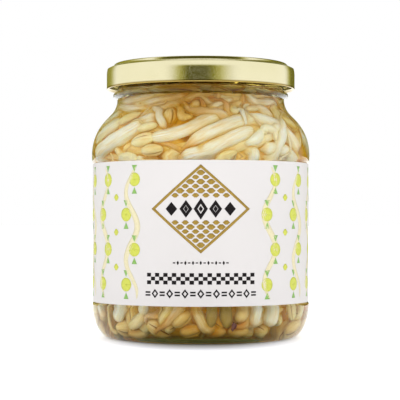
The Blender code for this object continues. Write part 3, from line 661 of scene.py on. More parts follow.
    # painted shade: the flesh is darker near the jar's floor and high up towards the lid
    for values, tint in (((0.0080, 0.0038, 0.0, 1.0), (0.92, 0.80, 0.52)), ((0.079, 0.088, 0.0, 1.0), (0.94, 0.82, 0.62))):
        level = m.add("ShaderNodeMapRange", interpolation_type="SMOOTHSTEP")
        m.link(z, level.inputs[0])
        for k, value in zip((1, 2, 3, 4), values):
            level.inputs[k].default_value = value
        shaded_flesh = m.mix(level.outputs[0], shaded_flesh, tint, "MULTIPLY")
    done = m.mix(olive, shaded_flesh, (0.34, 0.24, 0.05))
    m.link(done, m.shader.inputs["Base Color"])
    # a painted glow: the flesh emits a faint amber light, most a few mm in from the wall, standing for light that
    # wanders between the sprouts in the cloudy brine
    m.link(m.mix(m.ramp(depth, [(0.1, (0, 0, 0)), (0.3, (1, 1, 1)), (0.7, (0.5, 0.5, 0.5))]), (0, 0, 0), (0.085, 0.058, 0.004)), m.shader.inputs["Emission Color"])
    m.set(Emission_Strength=1.0)
    m.set(Roughness=0.4, IOR=1.4, Specular_IOR_Level=0.15, Subsurface_Weight=0.85, Subsurface_Scale=0.0022)
    m.set(Subsurface_Radius=(1.0, 0.88, 0.60))
    m.bump(m.math("ADD", m.math("ADD", streak, m.math("MULTIPLY", fine, 0.7)), m.math("MULTIPLY", blotch, 0.6)), 0.32, 0.0004)
    # the flesh is translucent: some of the light goes on to what lies behind
    path = m.add("ShaderNodeLightPath")
    clear = m.add("ShaderNodeBsdfTransparent")
    clear.inputs[0].default_value = (1.0, 0.90, 0.64, 1)
    both = m.add("ShaderNodeMixShader")
    m.link(m.math("MULTIPLY", path.outputs["Is Shadow Ray"], 0.78), both.inputs[0])
    m.link(m.shader.outputs[0], both.inputs[1])
    m.link(clear.outputs[0], both.inputs[2])
    m.link(both.outputs[0], m.out.inputs["Surface"])
    return m.mat


def husk_material():
    m = Nodes("seed_coat")
    m.link(m.ramp(m.noise(500, 2.0), [(0.3, (0.13, 0.028, 0.045)), (0.7, (0.26, 0.09, 0.05))]), m.shader.inputs["Base Color"])
    m.set(Roughness=0.35, Subsurface_Weight=0.1, Subsurface_Scale=0.0005)
    return m.mat


def gold_material():
    m = Nodes("gold_lacquer")
    where = m.add("ShaderNodeTexCoord")
    grain = m.noise(1.0, 3.0, 0.6, m.scaled(where.outputs["Object"], (2200, 2200, 700)))
    cloud = m.noise(70, 2.0, 0.5)
    colour = m.mix(m.ramp(cloud, [(0.3, (0, 0, 0)), (0.7, (1, 1, 1))]), (0.85, 0.79, 0.50), (0.89, 0.83, 0.545))
    # a painted reflection: the curl at the skirt's foot is coloured a duller, darker gold, for the dark jar shoulder
    # that it reflects
    x_y_z = m.add("ShaderNodeSeparateXYZ")
    m.link(where.outputs["Object"], x_y_z.inputs[0])
    foot = m.add("ShaderNodeMapRange", interpolation_type="SMOOTHSTEP")
    m.link(x_y_z.outputs[2], foot.inputs[0])
    for k, value in zip((1, 2, 3, 4), (0.0913, 0.0919, 1.0, 0.0)):
        foot.inputs[k].default_value = value
    m.link(m.mix(foot.outputs[0], colour, (0.36, 0.26, 0.07)), m.shader.inputs["Base Color"])
    m.link(m.ramp(grain, [(0.3, (0.10,) * 3), (0.7, (0.17,) * 3)]), m.shader.inputs["Roughness"])
    m.set(Metallic=1.0)
    m.bump(grain, 0.12, 0.00004)
    return m.mat


def seal_material():
    m = Nodes("seal_compound")
    m.link(m.ramp(m.noise(900, 2.0), [(0.3, (0.80, 0.76, 0.66)), (0.7, (0.88, 0.85, 0.76))]), m.shader.inputs["Base Color"])
    m.set(Roughness=0.55)
    return m.mat


def paper_material():
    m = Nodes("label_paper")
    fibre = m.noise(1400, 4.0, 0.65)
    cloud = m.noise(35, 2.0, 0.5)
    colour = m.mix(m.ramp(cloud, [(0.3, (0, 0, 0)), (0.7, (1, 1, 1))]), (0.625, 0.603, 0.604), (0.645, 0.621, 0.623))
    speck = m.mix(m.math("MULTIPLY", fibre, 0.06), colour, (0.7, 0.68, 0.7), "MULTIPLY")
    m.link(speck, m.shader.inputs["Base Color"])
    m.set(Roughness=0.5, Specular_IOR_Level=0.35)
    m.bump(fibre, 0.12, 0.00006)
    return m.mat


def ink_material(name, colour, metallic=0.0, roughness=0.5, spread=0.12, shine=0.35):
    m = Nodes(name)
    grain = m.noise(1500, 3.0, 0.6)
    low = tuple(c * (1 - spread) for c in colour)
    high = tuple(min(1.0, c * (1 + spread)) for c in colour)
    m.link(m.ramp(grain, [(0.32, low), (0.68, high)]), m.shader.inputs["Base Color"])
    m.set(Metallic=metallic, Roughness=roughness, Specular_IOR_Level=shine)
    m.bump(grain, 0.1, 0.00004)
    return m.mat


# ---- turned pieces ---------------------------------------------------------------------------------------------
def arc(cr, cz, a, b, start, end, n):
    return [
        (
            cr + a * math.cos(math.radians(start + (end - start) * i / n)),
            cz + b * math.sin(math.radians(start + (end - start) * i / n)),
        )
        for i in range(n + 1)
    ]


def eased(points, turns, closed=False):
    """Cuts the corners of a profile, again and again."""
    for _ in range(turns):
        out = [] if closed else [points[0]]
        pairs = list(zip(points, points[1:] + points[:1])) if closed else list(zip(points, points[1:]))
        for (r0, z0), (r1, z1) in pairs:
            out.append((0.75 * r0 + 0.25 * r1, 0.75 * z0 + 0.25 * z1))
            out.append((0.25 * r0 + 0.75 * r1, 0.25 * z0 + 0.75 * z1))
        if not closed:
            out.append(points[-1])
        points = out
    return points


def turned(name, profile, mat, segments=192, shape=None, sharp=40, wet=None, under=None):
    """A profile (r, z) turned about Z, drawn from the outside of the axis at the bottom, round and back. shape may
    move a ring's points: it takes r, z and the angles, and gives new r and z. wet says for each point of the profile
    whether glass and brine meet there, and under how much of the painted olive shade it takes, 1 for the underside."""
    angles = 2 * math.pi * np.arange(segments) / segments
    verts, rings, counts = [], [], []
    for r, z in profile:
        if r < 1e-6:
            rings.append([len(verts)] * segments)
            verts.append((0.0, 0.0, z))
            counts.append(1)
            continue
        rr, zz = np.full(segments, r), np.full(segments, z)
        if shape:
            rr, zz = shape(r, z, angles)
        rings.append(list(range(len(verts), len(verts) + segments)))
        verts.extend(zip(rr * np.cos(angles), rr * np.sin(angles), zz))
        counts.append(segments)
    faces = []
    closed = profile[0][0] > 1e-6 or profile[-1][0] > 1e-6
    for i in range(len(rings) if closed else len(rings) - 1):
        low, high = rings[i], rings[(i + 1) % len(rings)]
        for k in range(segments):
            n = (k + 1) % segments
            face = list(dict.fromkeys([low[k], low[n], high[n], high[k]]))
            if len(face) >= 3:
                faces.append(face)
    sort = None
    if wet:
        sort = np.repeat([[float(w), float(u), 0.0, 1.0] for w, u in zip(wet, under or [0] * len(wet))], counts, axis=0)
    return mesh_object(name, verts, faces, mat, sort=sort, sharp=sharp)


def smoothstep(x, low, high):
    t = np.clip((x - low) / (high - low), 0, 1)
    return t * t * (3 - 2 * t)


def jar_outline():
    punt = [(0.0, PUNT_RISE), (8.0, PUNT_RISE * 0.97), (16.0, PUNT_RISE * 0.85), (22.0, PUNT_RISE * 0.6), (27.0, PUNT_RISE * 0.22)]
    base = [(29.2, 0.03), (30.0, 0.0), (32.4, 0.0)]
    heel = arc(*HEEL, -80, -10, 16)
    low = [(39.86, 11.4), (LOW_BULGE_R, LOW_BULGE_Z - 0.1), (39.8, 12.7), (39.5, 13.05), (39.28, 13.3), (PANEL_R, 13.6), (PANEL_R, 15.2)]
    mid = [(PANEL_R, z) for z in (20.0, 30.0, 40.0, 50.0, 58.0)]
    high = [(PANEL_R, 62.6), (PANEL_R, 63.4), (39.4, 63.85), (39.75, 64.25), (39.9, 64.8)]
    shoulder = arc(SHOULDER_R - SHOULDER_ARC, SHOULDER_Z, SHOULDER_ARC, SHOULDER_ARC, -3, SHOULDER_TURN, 20)
    neck = arc(NECK_R + NECK_ARC, NECK_Z, NECK_ARC, NECK_ARC, 180 + SHOULDER_TURN, 180, 12)
    bead = arc(NECK_R + 0.2, BEAD_Z, BEAD_R - NECK_R - 0.2, 1.15, -75, 75, 10)
    thread = [(FINISH_R, z) for z in np.arange(90.3, 97.2, 0.23)]
    rim = arc(FINISH_R - 0.85, RIM_Z - 0.85, 0.85, 0.85, 10, 90, 5)
    return punt + base + heel + low + mid + high + shoulder + neck + bead + thread + rim


def jar_hollow():
    mouth = arc(MOUTH_R + 0.7, RIM_Z - 0.7, 0.7, 0.7, 90, 180, 5) + [(MOUTH_R, z) for z in (96.6, BRINE_TOP + 0.8, BRINE_TOP + 0.65, 93.2, 91.6, 90.0, 88.6)]
    reach = NECK_ARC + WALL - 0.1
    neck = arc(NECK_R + NECK_ARC, NECK_Z, reach, reach, 180, 180 + SHOULDER_TURN, 26)
    inner = SHOULDER_ARC - (SHOULDER_R - INNER_R)
    shoulder = arc(SHOULDER_R - SHOULDER_ARC, SHOULDER_Z, inner, inner, SHOULDER_TURN, 0, 18)
    wall = [(INNER_R, z) for z in (60.0, 50.0, 40.0, 30.0, 20.0, 14.0)]
    heel = arc(*INNER_HEEL, 0, -86, 14)
    floor = [(26.0, FLOOR_Z + FLOOR_RISE * 0.2), (18.0, FLOOR_Z + FLOOR_RISE * 0.62), (9.0, FLOOR_Z + FLOOR_RISE * 0.92)]
    return mouth + neck + shoulder + wall + heel + floor + [(0.0, FLOOR_Z + FLOOR_RISE)]


def thread_shape(r, z, angles):
    """The four climbing thread segments on the finish. The faint unevenness of the pressed glass comes from
    hollow_wave.
    """
    rr, zz = np.full(len(angles), r, float), np.full(len(angles), z, float)
    if abs(r - FINISH_R) < 1e-6 and 90 < z < 97.5:
        degrees = np.degrees(angles)
        for i in range(LUG_COUNT):
            off = (degrees - (LUG_AT + 90 * i) + 180) % 360 - 180
            under = THREAD_UNDERSIDE + TWIST_RISE / TWIST_RANGE * off
            h = z - under
            across = smoothstep(h, -0.25, 0.3) * (1 - smoothstep(h, 0.55, THREAD_HIGH + 0.1))
            along = smoothstep(off, THREAD_SPAN[0] - 2, THREAD_SPAN[0] + 5) * (1 - smoothstep(off, THREAD_SPAN[1] - 6, THREAD_SPAN[1] + 2))
            rr = np.maximum(rr, FINISH_R + (THREAD_R - FINISH_R) * across * along)
    return rr, zz


def hollow_wave(r, z, angles):
    uneven = 0.10 * np.sin(3 * angles + 0.11 * z) + 0.07 * np.sin(5 * angles - 0.17 * z + 1.0) + 0.05 * np.sin(8 * angles + 0.3 * z)
    ripple = 0.11 * np.sin(2.5 * z + 0.8 * np.sin(2 * angles) + 0.5 * np.sin(5 * angles)) * float(smoothstep(z, 79.5, 84.5))
    return r - 0.12 + (uneven + ripple) * min(1.0, r / 20), np.full(len(angles), z, float)


def jar_shape(r, z, angles):
    if (r, round(z, 4)) in HOLLOW_POINTS:
        return hollow_wave(r, z, angles)
    return thread_shape(r, z, angles)


BRINE_TOP = 94.2
GLASS = clear_material("clear_glass", 1.5, 1.125, (0.48, 0.56, 0.12), 30.0, 0.12)
hollow = jar_hollow()
HOLLOW_POINTS = {(r, round(z, 4)) for r, z in hollow[9:-4]}
wet = [0.0] * len(jar_outline()) + [float(z < BRINE_TOP + 0.7) for r, z in hollow]
# the underside, and the bead at 0.58, take the painted olive shade
under = [float(r < 32.5 and z < 1.8) or 0.58 * (87.4 < z < 90.2) for r, z in jar_outline()] + [0.0] * len(hollow)
jar = turned("jar_glass", jar_outline() + hollow, GLASS, 224, jar_shape, 50, wet, under)
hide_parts("glass_jar")
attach(jar, "jar")

# the brine fills the jar to the mouth's wall, a hair off the wetted glass
brine_side = []
for z in list(np.arange(12.0, 66.1, 9.0)) + list(np.arange(67.0, BRINE_TOP - 0.3, 1.3)):
    brine_side.append((inner_radius(z) - 0.36, float(z)))
brine_low = arc(INNER_HEEL[0], INNER_HEEL[1], INNER_HEEL[2] - 0.36, INNER_HEEL[3] - 0.1, -86, -4, 12)
brine_profile = (
    [(0.0, FLOOR_Z + FLOOR_RISE + 0.05), (18.0, FLOOR_Z + FLOOR_RISE * 0.62 + 0.05), (26.0, FLOOR_Z + FLOOR_RISE * 0.2 + 0.05)]
    + brine_low
    + brine_side
    + [(MOUTH_R - 0.36, BRINE_TOP + 0.8), (MOUTH_R - 0.6, BRINE_TOP + 0.72), (MOUTH_R - 1.4, BRINE_TOP + 0.2), (MOUTH_R - 3.0, BRINE_TOP)]
    + [(14.0, BRINE_TOP), (0.0, BRINE_TOP)]
)
brine = turned(
    "brine", brine_profile, clear_material("amber_brine", 1.333, 1.0, (0.95, 0.78, 0.0), 41.0, 0.0), 160,
    wet=[1.0] * (len(brine_profile) - 5) + [0.0] * 5,
)
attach(brine, "jar")


# ---- the lid ---------------------------------------------------------------------------------------------------
def lid_outline():
    outside = [
        (0.0, 99.22), (5.0, 99.26), (7.8, 99.36), (9.4, 99.66), (10.8, 99.72), (12.2, 99.52), (14.0, 99.5), (20.0, 99.52),
        (27.0, 99.5), (28.5, 99.62), (29.1, 100.1), (29.7, 100.32), (30.9, 100.32), (31.7, 100.2), (32.35, 99.35),
        (32.75, 99.0), (33.5, 98.9), (34.35, 98.35), (34.6, 96.9), (34.6, 94.5), (34.6, 91.6), (34.6, 91.12),
        (34.52, 90.92), (34.2, 90.86), (33.4, 91.5),
    ]
    inside = [
        (33.45, 92.2), (34.32, 92.5), (34.32, 95.0), (34.32, 97.2), (33.7, 98.45), (32.4, 98.75), (32.2, 99.6),
        (31.5, 100.04), (29.8, 100.04), (29.35, 99.85), (28.7, 99.3), (27.0, 99.22), (12.4, 99.24), (10.8, 99.44),
        (9.5, 99.38), (7.9, 99.08), (5.0, 98.98), (0.0, 98.95),
    ]
    return eased(outside[:18], 2)[:-1] + eased(outside[17:] + inside[:3], 2)[:-1] + eased(inside[2:], 2)


def lid_shape(r, z, angles):
    """At four places the curl at the lid's edge is pressed inwards to make a lug."""
    rr, zz = np.full(len(angles), r, float), np.full(len(angles), z, float)
    if z < 92.55 and r < 34.2:
        degrees = np.degrees(angles)
        for i in range(LUG_COUNT):
            off = np.abs((degrees - (LUG_AT + 90 * i) + 180) % 360 - 180)
            lug = 1 - smoothstep(off, 6.0, 10.0)
            reach = (34.2 - r) / 1.1 * 1.7
            rr -= lug * reach
            zz += lug * (91.45 - zz) * 0.45 * min(1.0, (34.2 - r) / 1.1)
    return rr, zz


GOLD = gold_material()
lid = turned("lid_gold", lid_outline()[::-1], GOLD, 288, lid_shape, sharp=60)
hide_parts("lid")
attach(lid, "lid")

seal_line = eased([(29.0, 98.97), (31.5, 98.97), (31.85, 99.3), (31.4, 99.7), (30.0, 99.7), (29.4, 99.4)], 2, closed=True)
seal = turned("seal_ring", seal_line, seal_material(), 160)
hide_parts("lid_seal")
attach(seal, "seal")


# ---- the label -------------------------------------------------------------------------------------------------
INK_R = LABEL_R + LABEL_THICK + 0.035


def label_sheet():
    """A paper strip that goes once round and laps over its start at the back. Paper never lies quite flat."""
    steps, rows, lap = 300, 24, 15
    verts, uv = [], []
    for i in range(steps + lap + 1):
        degrees = 90 - 180 * lap / steps + 360 * i / steps
        a = math.radians(degrees)
        lift = (LABEL_THICK + 0.05) * float(smoothstep(i, steps - 10, steps - 1))
        for layer in (0.0, LABEL_THICK):
            for j in range(rows + 1):
                z = LABEL_Z[0] + (LABEL_Z[1] - LABEL_Z[0]) * j / rows
                edge = min(j, rows - j) / rows
                wave = 0.018 * math.sin(7 * a + 0.2 * z) * min(1, 8 * edge) + 0.012 * math.sin(17 * a - 0.35 * z) * min(1, 8 * edge)
                r = LABEL_R + lift + layer + wave
                verts.append((r * math.cos(a), r * math.sin(a), z))
                uv.append((i / steps, j / rows))
    row = rows + 1
    faces = []
    for i in range(steps + lap):
        a, b = 2 * row * i, 2 * row * (i + 1)
        for j in range(rows):
            faces.append([a + j, a + j + 1, b + j + 1, b + j])
            faces.append([a + row + j, b + row + j, b + row + j + 1, a + row + j + 1])
        faces.append([a, b, b + row, a + row])
        faces.append([a + rows, a + row + rows, b + row + rows, b + rows])
    last = 2 * row * (steps + lap)
    for j in range(rows):
        faces.append([j, row + j, row + j + 1, j + 1])
        faces.append([last + j, last + j + 1, last + row + j + 1, last + row + j])
    return mesh_object("label_sheet", verts, faces, paper_material(), uv, sharp=50)


label = label_sheet()
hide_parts("label")
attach(label, "jar")


class Print:
    """Flat shapes in one ink, bent round the label. x runs along the paper from the front's middle, to the right,
    and z up, both in mm."""

    def __init__(self):
        self.verts, self.faces = [], []

    def patch(self, grid):
        """grid[i][j] = (x, z), as rows of columns."""
        base = len(self.verts)
        wide = len(grid[0])
        for line in grid:
            for x, z in line:
                a = x / INK_R - math.pi / 2
                self.verts.append((INK_R * math.cos(a), INK_R * math.sin(a), z))
        for i in range(len(grid) - 1):
            for j in range(wide - 1):
                k = base + i * wide + j
                self.faces.append([k, k + 1, k + wide + 1, k + wide])

    def stroke(self, points, width, taper=0.0):
        """A brush stroke along smooth points. width may be a number or one for each point."""
        pts = [np.array(p, float) for p in points]
        pts = [2 * pts[0] - pts[1]] + pts + [2 * pts[-1] - pts[-2]]
        widths = list(np.full(len(points), float(width))) if np.isscalar(width) else list(width)
        widths = [widths[0]] + widths + [widths[-1]]
        line, wide = [], []
        for i in range(1, len(pts) - 2):
            steps = max(3, int(np.hypot(*(pts[i + 1] - pts[i])) / 0.8))
            for j in range(steps):
                t = j / steps
                a, b, c, d = pts[i - 1 : i + 3]
                line.append(0.5 * (2 * b + (c - a) * t + (2 * a - 5 * b + 4 * c - d) * t * t + (3 * b - a - 3 * c + d) * t**3))
                wide.append(widths[i] + (widths[i + 1] - widths[i]) * t)
        line.append(pts[-2])
        wide.append(widths[-1])
        line = np.array(line)
        ahead = np.gradient(line, axis=0)
        ahead /= np.maximum(1e-9, np.hypot(ahead[:, 0], ahead[:, 1]))[:, None]
        across = np.stack([ahead[:, 1], -ahead[:, 0]], axis=1)
        share = np.linspace(0, 1, len(line))
        ends = np.sqrt(np.clip(1 - np.clip(1 - share / max(taper, 1e-6), 0, 1) ** 2, 0, 1)) * np.sqrt(
            np.clip(1 - np.clip(1 - (1 - share) / max(taper, 1e-6), 0, 1) ** 2, 0, 1)
        ) if taper else np.ones(len(line))
        half = np.array(wide) / 2 * np.maximum(ends, 0.02)
        self.patch([[tuple(p + s * h * n) for s in (-1, -0.33, 0.33, 1)] for p, h, n in zip(line, half, across)])

    def disc(self, x, z, r, hole=0.0, sides=36, squash=1.0):
        rings = 4
        grid = []
        for i in range(sides + 1):
            a = 2 * math.pi * i / sides
            grid.append([(x + rr * math.cos(a), z + rr * squash * math.sin(a)) for rr in np.linspace(max(hole, 0.02), r, rings)])
        self.patch(grid)

    def lozenge(self, x, z, wide, high, border=0.0):
        """A diamond, or only its border."""
        if not border:
            steps = max(2, int(wide / 0.8))
            self.patch(
                [
                    [(x - wide / 2 + wide * i / steps, z + high / 2 * (1 - abs(2 * i / steps - 1)) * s) for s in (-1, -0.33, 0.33, 1)]
                    for i in range(steps + 1)
                ]
            )
            return
        tips = [(0, high / 2), (wide / 2, 0), (0, -high / 2), (-wide / 2, 0), (0, high / 2)]
        k = 1 - 2 * border / min(wide, high)
        for (x0, z0), (x1, z1) in zip(tips, tips[1:]):
            steps = max(2, int(math.hypot(x1 - x0, z1 - z0) / 1.0))
            self.patch(
                [
                    [(x + (x0 + (x1 - x0) * i / steps) * s, z + (z0 + (z1 - z0) * i / steps) * s) for s in (k, 1.0)]
                    for i in range(steps + 1)
                ]
            )

    def wedge(self, x, z, wide, high, lean):
        """A triangle on its tip or its side, turned by lean degrees."""
        c, s = math.cos(math.radians(lean)), math.sin(math.radians(lean))
        grid = []
        for i in range(5):
            half = wide / 2 * i / 4
            line = [(-half, high * i / 4), (-half / 3, high * i / 4), (half / 3, high * i / 4), (half, high * i / 4)]
            grid.append([(x + u * c - v * s, z + u * s + v * c) for u, v in line])
        self.patch(grid)

    def bar(self, x0, x1, z0, z1):
        steps = max(1, int(abs(x1 - x0) / 1.0))
        self.patch([[(x0 + (x1 - x0) * i / steps, z) for z in (z0, z1)] for i in range(steps + 1)])

    def done(self, name, mat):
        obj = mesh_object(name, self.verts, self.faces, mat)
        bm = bmesh.new()
        bm.from_mesh(obj.data)
        bmesh.ops.recalc_face_normals(bm, faces=bm.faces)
        for f in bm.faces:
            out = f.calc_center_median()
            if f.normal.x * out.x + f.normal.y * out.y < 0:
                f.normal_flip()
        bm.to_mesh(obj.data)
        bm.free()
        thick = obj.modifiers.new("ink_film", "SOLIDIFY")
        thick.thickness, thick.offset = 0.00003, 0
        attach(obj, "jar")
        return obj


def print_design():
    """A plain geometric pattern: a big lozenge filled with a lattice, bands of near-black chequer and diamond pattern,
    and at each side upright rows of lime discs and green wedges between straw waves."""
    gold, lime, green, straw, ink = Print(), Print(), Print(), Print(), Print()
    mid = 46.8
    gold.lozenge(0, mid, 35.0, 30.6, 1.25)
    step = 3.55
    for i in range(-5, 6):
        for j in range(-5, 6):
            x, z = (i - j) * step / 2, (i + j) * step * 0.437
            if abs(i) > 4 or abs(j) > 4 or abs(z) < 3.9:
                continue
            big = 3.15 if (i + j) % 2 == 0 else 2.6
            gold.lozenge(x, mid + z, big, big * 0.875)
    for k in range(-2, 3):
        ink.lozenge(5.1 * k, mid, 4.9 - 0.4 * abs(k), 7.4 - 1.3 * abs(k), 1.3)
        ink.lozenge(5.1 * k, mid, 1.5, 2.2)
    # three bands below
    for k in range(-7, 8):
        ink.bar(1.32 * k - 0.42, 1.32 * k + 0.42, 28.1, 28.5) if k % 2 else ink.lozenge(1.32 * k, 28.3, 0.9, 1.5)
    for k in range(25):
        for row in range(3):
            if (k + row) % 2 == 0:
                ink.bar(-19.25 + 1.54 * k, -17.71 + 1.54 * k, 20.9 + 1.3 * row, 22.2 + 1.3 * row)
    for k in range(-7, 8):
        if k % 2:
            ink.bar(2.7 * k - 0.95, 2.7 * k + 0.95, 17.9, 18.45)
            ink.bar(2.7 * k - 0.95, 2.7 * k + 0.95, 16.9, 17.45)
        else:
            ink.lozenge(2.7 * k, 17.7, 2.5, 3.2, 0.62)
    # the sides, and more sparsely round the back
    for centre in (-33.5, 33.5, -60.5, 60.5, -87.5, 87.5):
        for side in (-1, 1):
            line = [(centre + side * (7.6 + 2.6 * math.sin(0.95 * i + (1.1 if side > 0 else 0.0))), 15.5 + 3.55 * i) for i in range(14)]
            straw.stroke(line, [0.9 + 1.5 * math.sin(math.pi * i / 13) for i in range(14)], 0.06)
        for row in range(4):
            z = 20.5 + 12.2 * row
            for side in (-1, 1):
                x = centre + side * 7.0 + (1.9 if row % 2 else -1.9)
                lime.disc(x, z, 2.4)
                green.wedge(x, z + 2.7, 2.3, 2.3, 0)
                green.wedge(x, z - 2.7, 2.3, 2.3, 180)
            if row < 3:
                lime.lozenge(centre, z + 6.0, 2.6, 3.4)
    gold.done("print_gold", ink_material("ink_gold", (0.32, 0.205, 0.033), 0.25, 0.42, 0.2))
    lime.done("print_lime", ink_material("ink_lime", (0.53, 0.56, 0.078), 0.0, 0.5, 0.08))
    green.done("print_green", ink_material("ink_green", (0.215, 0.415, 0.10), 0.0, 0.5, 0.12))
    straw.done("print_straw", ink_material("ink_straw", (0.67, 0.61, 0.405), 0.0, 0.5, 0.05))
    ink.done("print_black", ink_material("ink_black", (0.009, 0.007, 0.008), 0.0, 0.6, 0.2, 0.12))


print_design()


# ---- the sprouts -----------------------------------------------------------------------------------------------
def smooth_line(beads, count):
    pad = np.vstack([2 * beads[0] - beads[1], beads, 2 * beads[-1] - beads[-2]])
    t = np.linspace(0, len(beads) - 1, count)
    i = np.clip(t.astype(int), 0, len(beads) - 2)
    u = (t - i)[:, None]
    a, b, c, d = pad[i], pad[i + 1], pad[i + 2], pad[i + 3]
    return 0.5 * (2 * b + (c - a) * u + (2 * a - 5 * b + 4 * c - d) * u * u + (3 * b - a - 3 * c + d) * u**3)


def grown_radii(t, length, root, stem, head, rng):
    """Half widths along a sprout: across and along the seed leaves' split, the split's depth, and the tone."""
    u = np.clip(t / root, 0, 1)
    r = np.where(t < root, 0.5 + (stem - 0.5) * u * u * (3 - 2 * u), stem)
    r = r * (1 + 0.05 * np.sin(t * length * 0.35 + rng.uniform(0, 6)) + 0.025 * np.sin(t * length * 0.9 + rng.uniform(0, 6)))
    tone = 0.08 + 0.42 * smoothstep(t, 0.02, root * 1.25) + 0.04 * np.sin(t * 9 + rng.uniform(0, 6))
    split = np.zeros_like(t)
    left = (1 - t) * length
    rx, ry = r.copy(), r * 0.96
    if head:
        neck = 0.74 * stem
        across = (left - 4.6) / 4.65
        lobe = head * np.sqrt(np.clip(1 - np.abs(across) ** 2.2, 0, 1)) * (1 + 0.1 * across)
        join = smoothstep(left, 6.4, 10.0)
        body = neck + (r - neck) * smoothstep(left, 8.5, 13.0)
        rx = np.where(left < 9.2, np.maximum(lobe * 0.96, body * join), body)
        ry = np.where(left < 9.2, np.maximum(lobe * 0.8, body * join), body * 0.96)
        split = 0.95 * smoothstep(-left, -8.2, -6.2)
        tone = np.maximum(tone, 0.5 + 0.5 * smoothstep(-left, -12.0, -6.5))
    else:
        end = np.sqrt(np.clip(1 - np.clip((2.6 - left) / 2.7, 0, 1) ** 2, 0.02, 1))
        rx, ry = rx * end, ry * end
        tone = tone - 0.28 * smoothstep(-left, -4.0, -0.5)
    start = np.sqrt(np.clip(1 - np.clip((0.6 - t * length) / 0.62, 0, 1) ** 2, 0.05, 1))
    return rx * start, ry * start, split, np.clip(tone, 0, 1)


def bean_radii(t, half, width, rng):
    u = 2 * t - 1
    r = width * np.sqrt(np.clip(1 - (np.abs(u) ** 2.15), 0.004, 1))
    lop = 1 + 0.06 * np.sin(3 * u + rng.uniform(0, 6))
    return r * 1.03 * lop, r * 0.86, 0.95 * smoothstep(1 - np.abs(u), 0.0, 0.2), np.full_like(t, rng.uniform(0.78, 0.96))


PLUMP = 1.1


def skin(line, rx, ry, split, tone, sides, chance, olive, roll, rng):
    """Vertices, faces, uv and sort of one grown piece."""
    m = len(line)
    ahead = np.gradient(line, axis=0)
    ahead /= np.maximum(1e-9, np.sqrt((ahead**2).sum(axis=1)))[:, None]
    out = line[m // 2] * [1, 1, 0]
    side = np.cross(ahead[0], out if np.abs(np.cross(ahead[0], out)).sum() > 1e-3 else [0.3, 0.2, 0.9])
    sides_at, ups = [], []
    for k in range(m):
        side = side - ahead[k] * (side @ ahead[k])
        side = side / math.sqrt(side @ side + 1e-18)
        sides_at.append(side)
        ups.append(np.cross(ahead[k], side))
    sides_at, ups = np.array(sides_at), np.array(ups)
    phi = 2 * math.pi * np.arange(sides) / sides
    c, s = np.cos(phi), np.sin(phi)
    r = PLUMP / np.sqrt((c[None, :] / rx[:, None]) ** 2 + (s[None, :] / ry[:, None]) ** 2)
    off = np.minimum(np.abs(phi - math.pi / 2), np.abs(phi - 1.5 * math.pi))
    r = r * (1 - split[:, None] * 0.3 * np.exp(-((off / 0.2) ** 2))[None, :])
    r = r * (1 + 0.02 * np.sin(3 * phi[None, :] + 0.25 * np.arange(m)[:, None] + rng.uniform(0, 6)))
    turn = rng.uniform(-0.012, 0.012)
    r = r * (1 + 0.028 * np.sin(5 * phi[None, :] + turn * np.arange(m)[:, None] + rng.uniform(0, 6)) * (1 - split[:, None]))
    cr, sr = math.cos(roll), math.sin(roll)
    x_dir = sides_at * cr + ups * sr
    y_dir = ups * cr - sides_at * sr
    verts = line[:, None, :] + (r * c[None, :])[..., None] * x_dir[:, None, :] + (r * s[None, :])[..., None] * y_dir[:, None, :]
    verts = verts.reshape(-1, 3)
    i, k = np.meshgrid(np.arange(m - 1), np.arange(sides), indexing="ij")
    a, b = i * sides + k, i * sides + (k + 1) % sides
    faces = np.stack([a, b, b + sides, a + sides], axis=-1).reshape(-1, 4).tolist()
    faces.append(list(range(sides))[::-1])
    faces.append(list(range((m - 1) * sides, m * sides)))
    run = np.concatenate([[0], np.cumsum(np.sqrt(((line[1:] - line[:-1]) ** 2).sum(axis=1)))])
    uv = np.stack([np.repeat(run / 10, sides) + 7.3 * (1 + chance), np.tile(np.abs(phi / math.pi - 1), m)], axis=1)
    sort = np.stack([np.repeat(tone, sides), np.full(m * sides, chance), np.full(m * sides, olive), np.repeat(1 - split, sides)], axis=1)
    return verts, faces, uv, np.clip(sort, 0, 1)


FLESH = flesh_material()
names, laid, radii, halves = chains()
settled = settle(laid, radii, halves, 150)
loose, loose_radii, loose_halves, facts = loose_chains()
every = np.concatenate([settled, loose])
every_r = np.concatenate([radii, loose_radii])
every = settle_loose(every, every_r, list(halves) + loose_halves, len(settled), 90)

known = {}
for name, root, stem, head, places in SPROUTS:
    known["sprout_" + name] = (root, stem, head)
for name, half, width, at, lean in BEANS:
    known["bean_" + name] = (half, width)


SPOT_COUNT = 48
SPOTS = np.concatenate([smooth_line(beads, SPOT_COUNT) for beads in every])
SPOT_OWNER = np.repeat(np.arange(len(every)), SPOT_COUNT)
SPOT_R = np.concatenate([np.interp(np.linspace(0, 1, SPOT_COUNT), np.linspace(0, 1, len(r)), r) for r in every_r]) * PLUMP


def crowding(verts, own):
    """For each vertex of a piece, 1 where the next piece touches it, down to 0 where that is 1.5 mm off: the mask of
    the flesh's painted contact shade.
    """
    near = (SPOT_OWNER != own) & ((SPOTS > verts.min(axis=0) - 4.5) & (SPOTS < verts.max(axis=0) + 4.5)).all(axis=1)
    if not near.any():
        return np.zeros(len(verts))
    spots = SPOTS[near]
    apart = (verts**2).sum(axis=1)[:, None] + (spots**2).sum(axis=1)[None] - 2 * verts @ spots.T
    gap = (np.sqrt(np.maximum(apart, 0)) - SPOT_R[near][None]).min(axis=1)
    return 1 - smoothstep(gap, -0.1, 1.5)


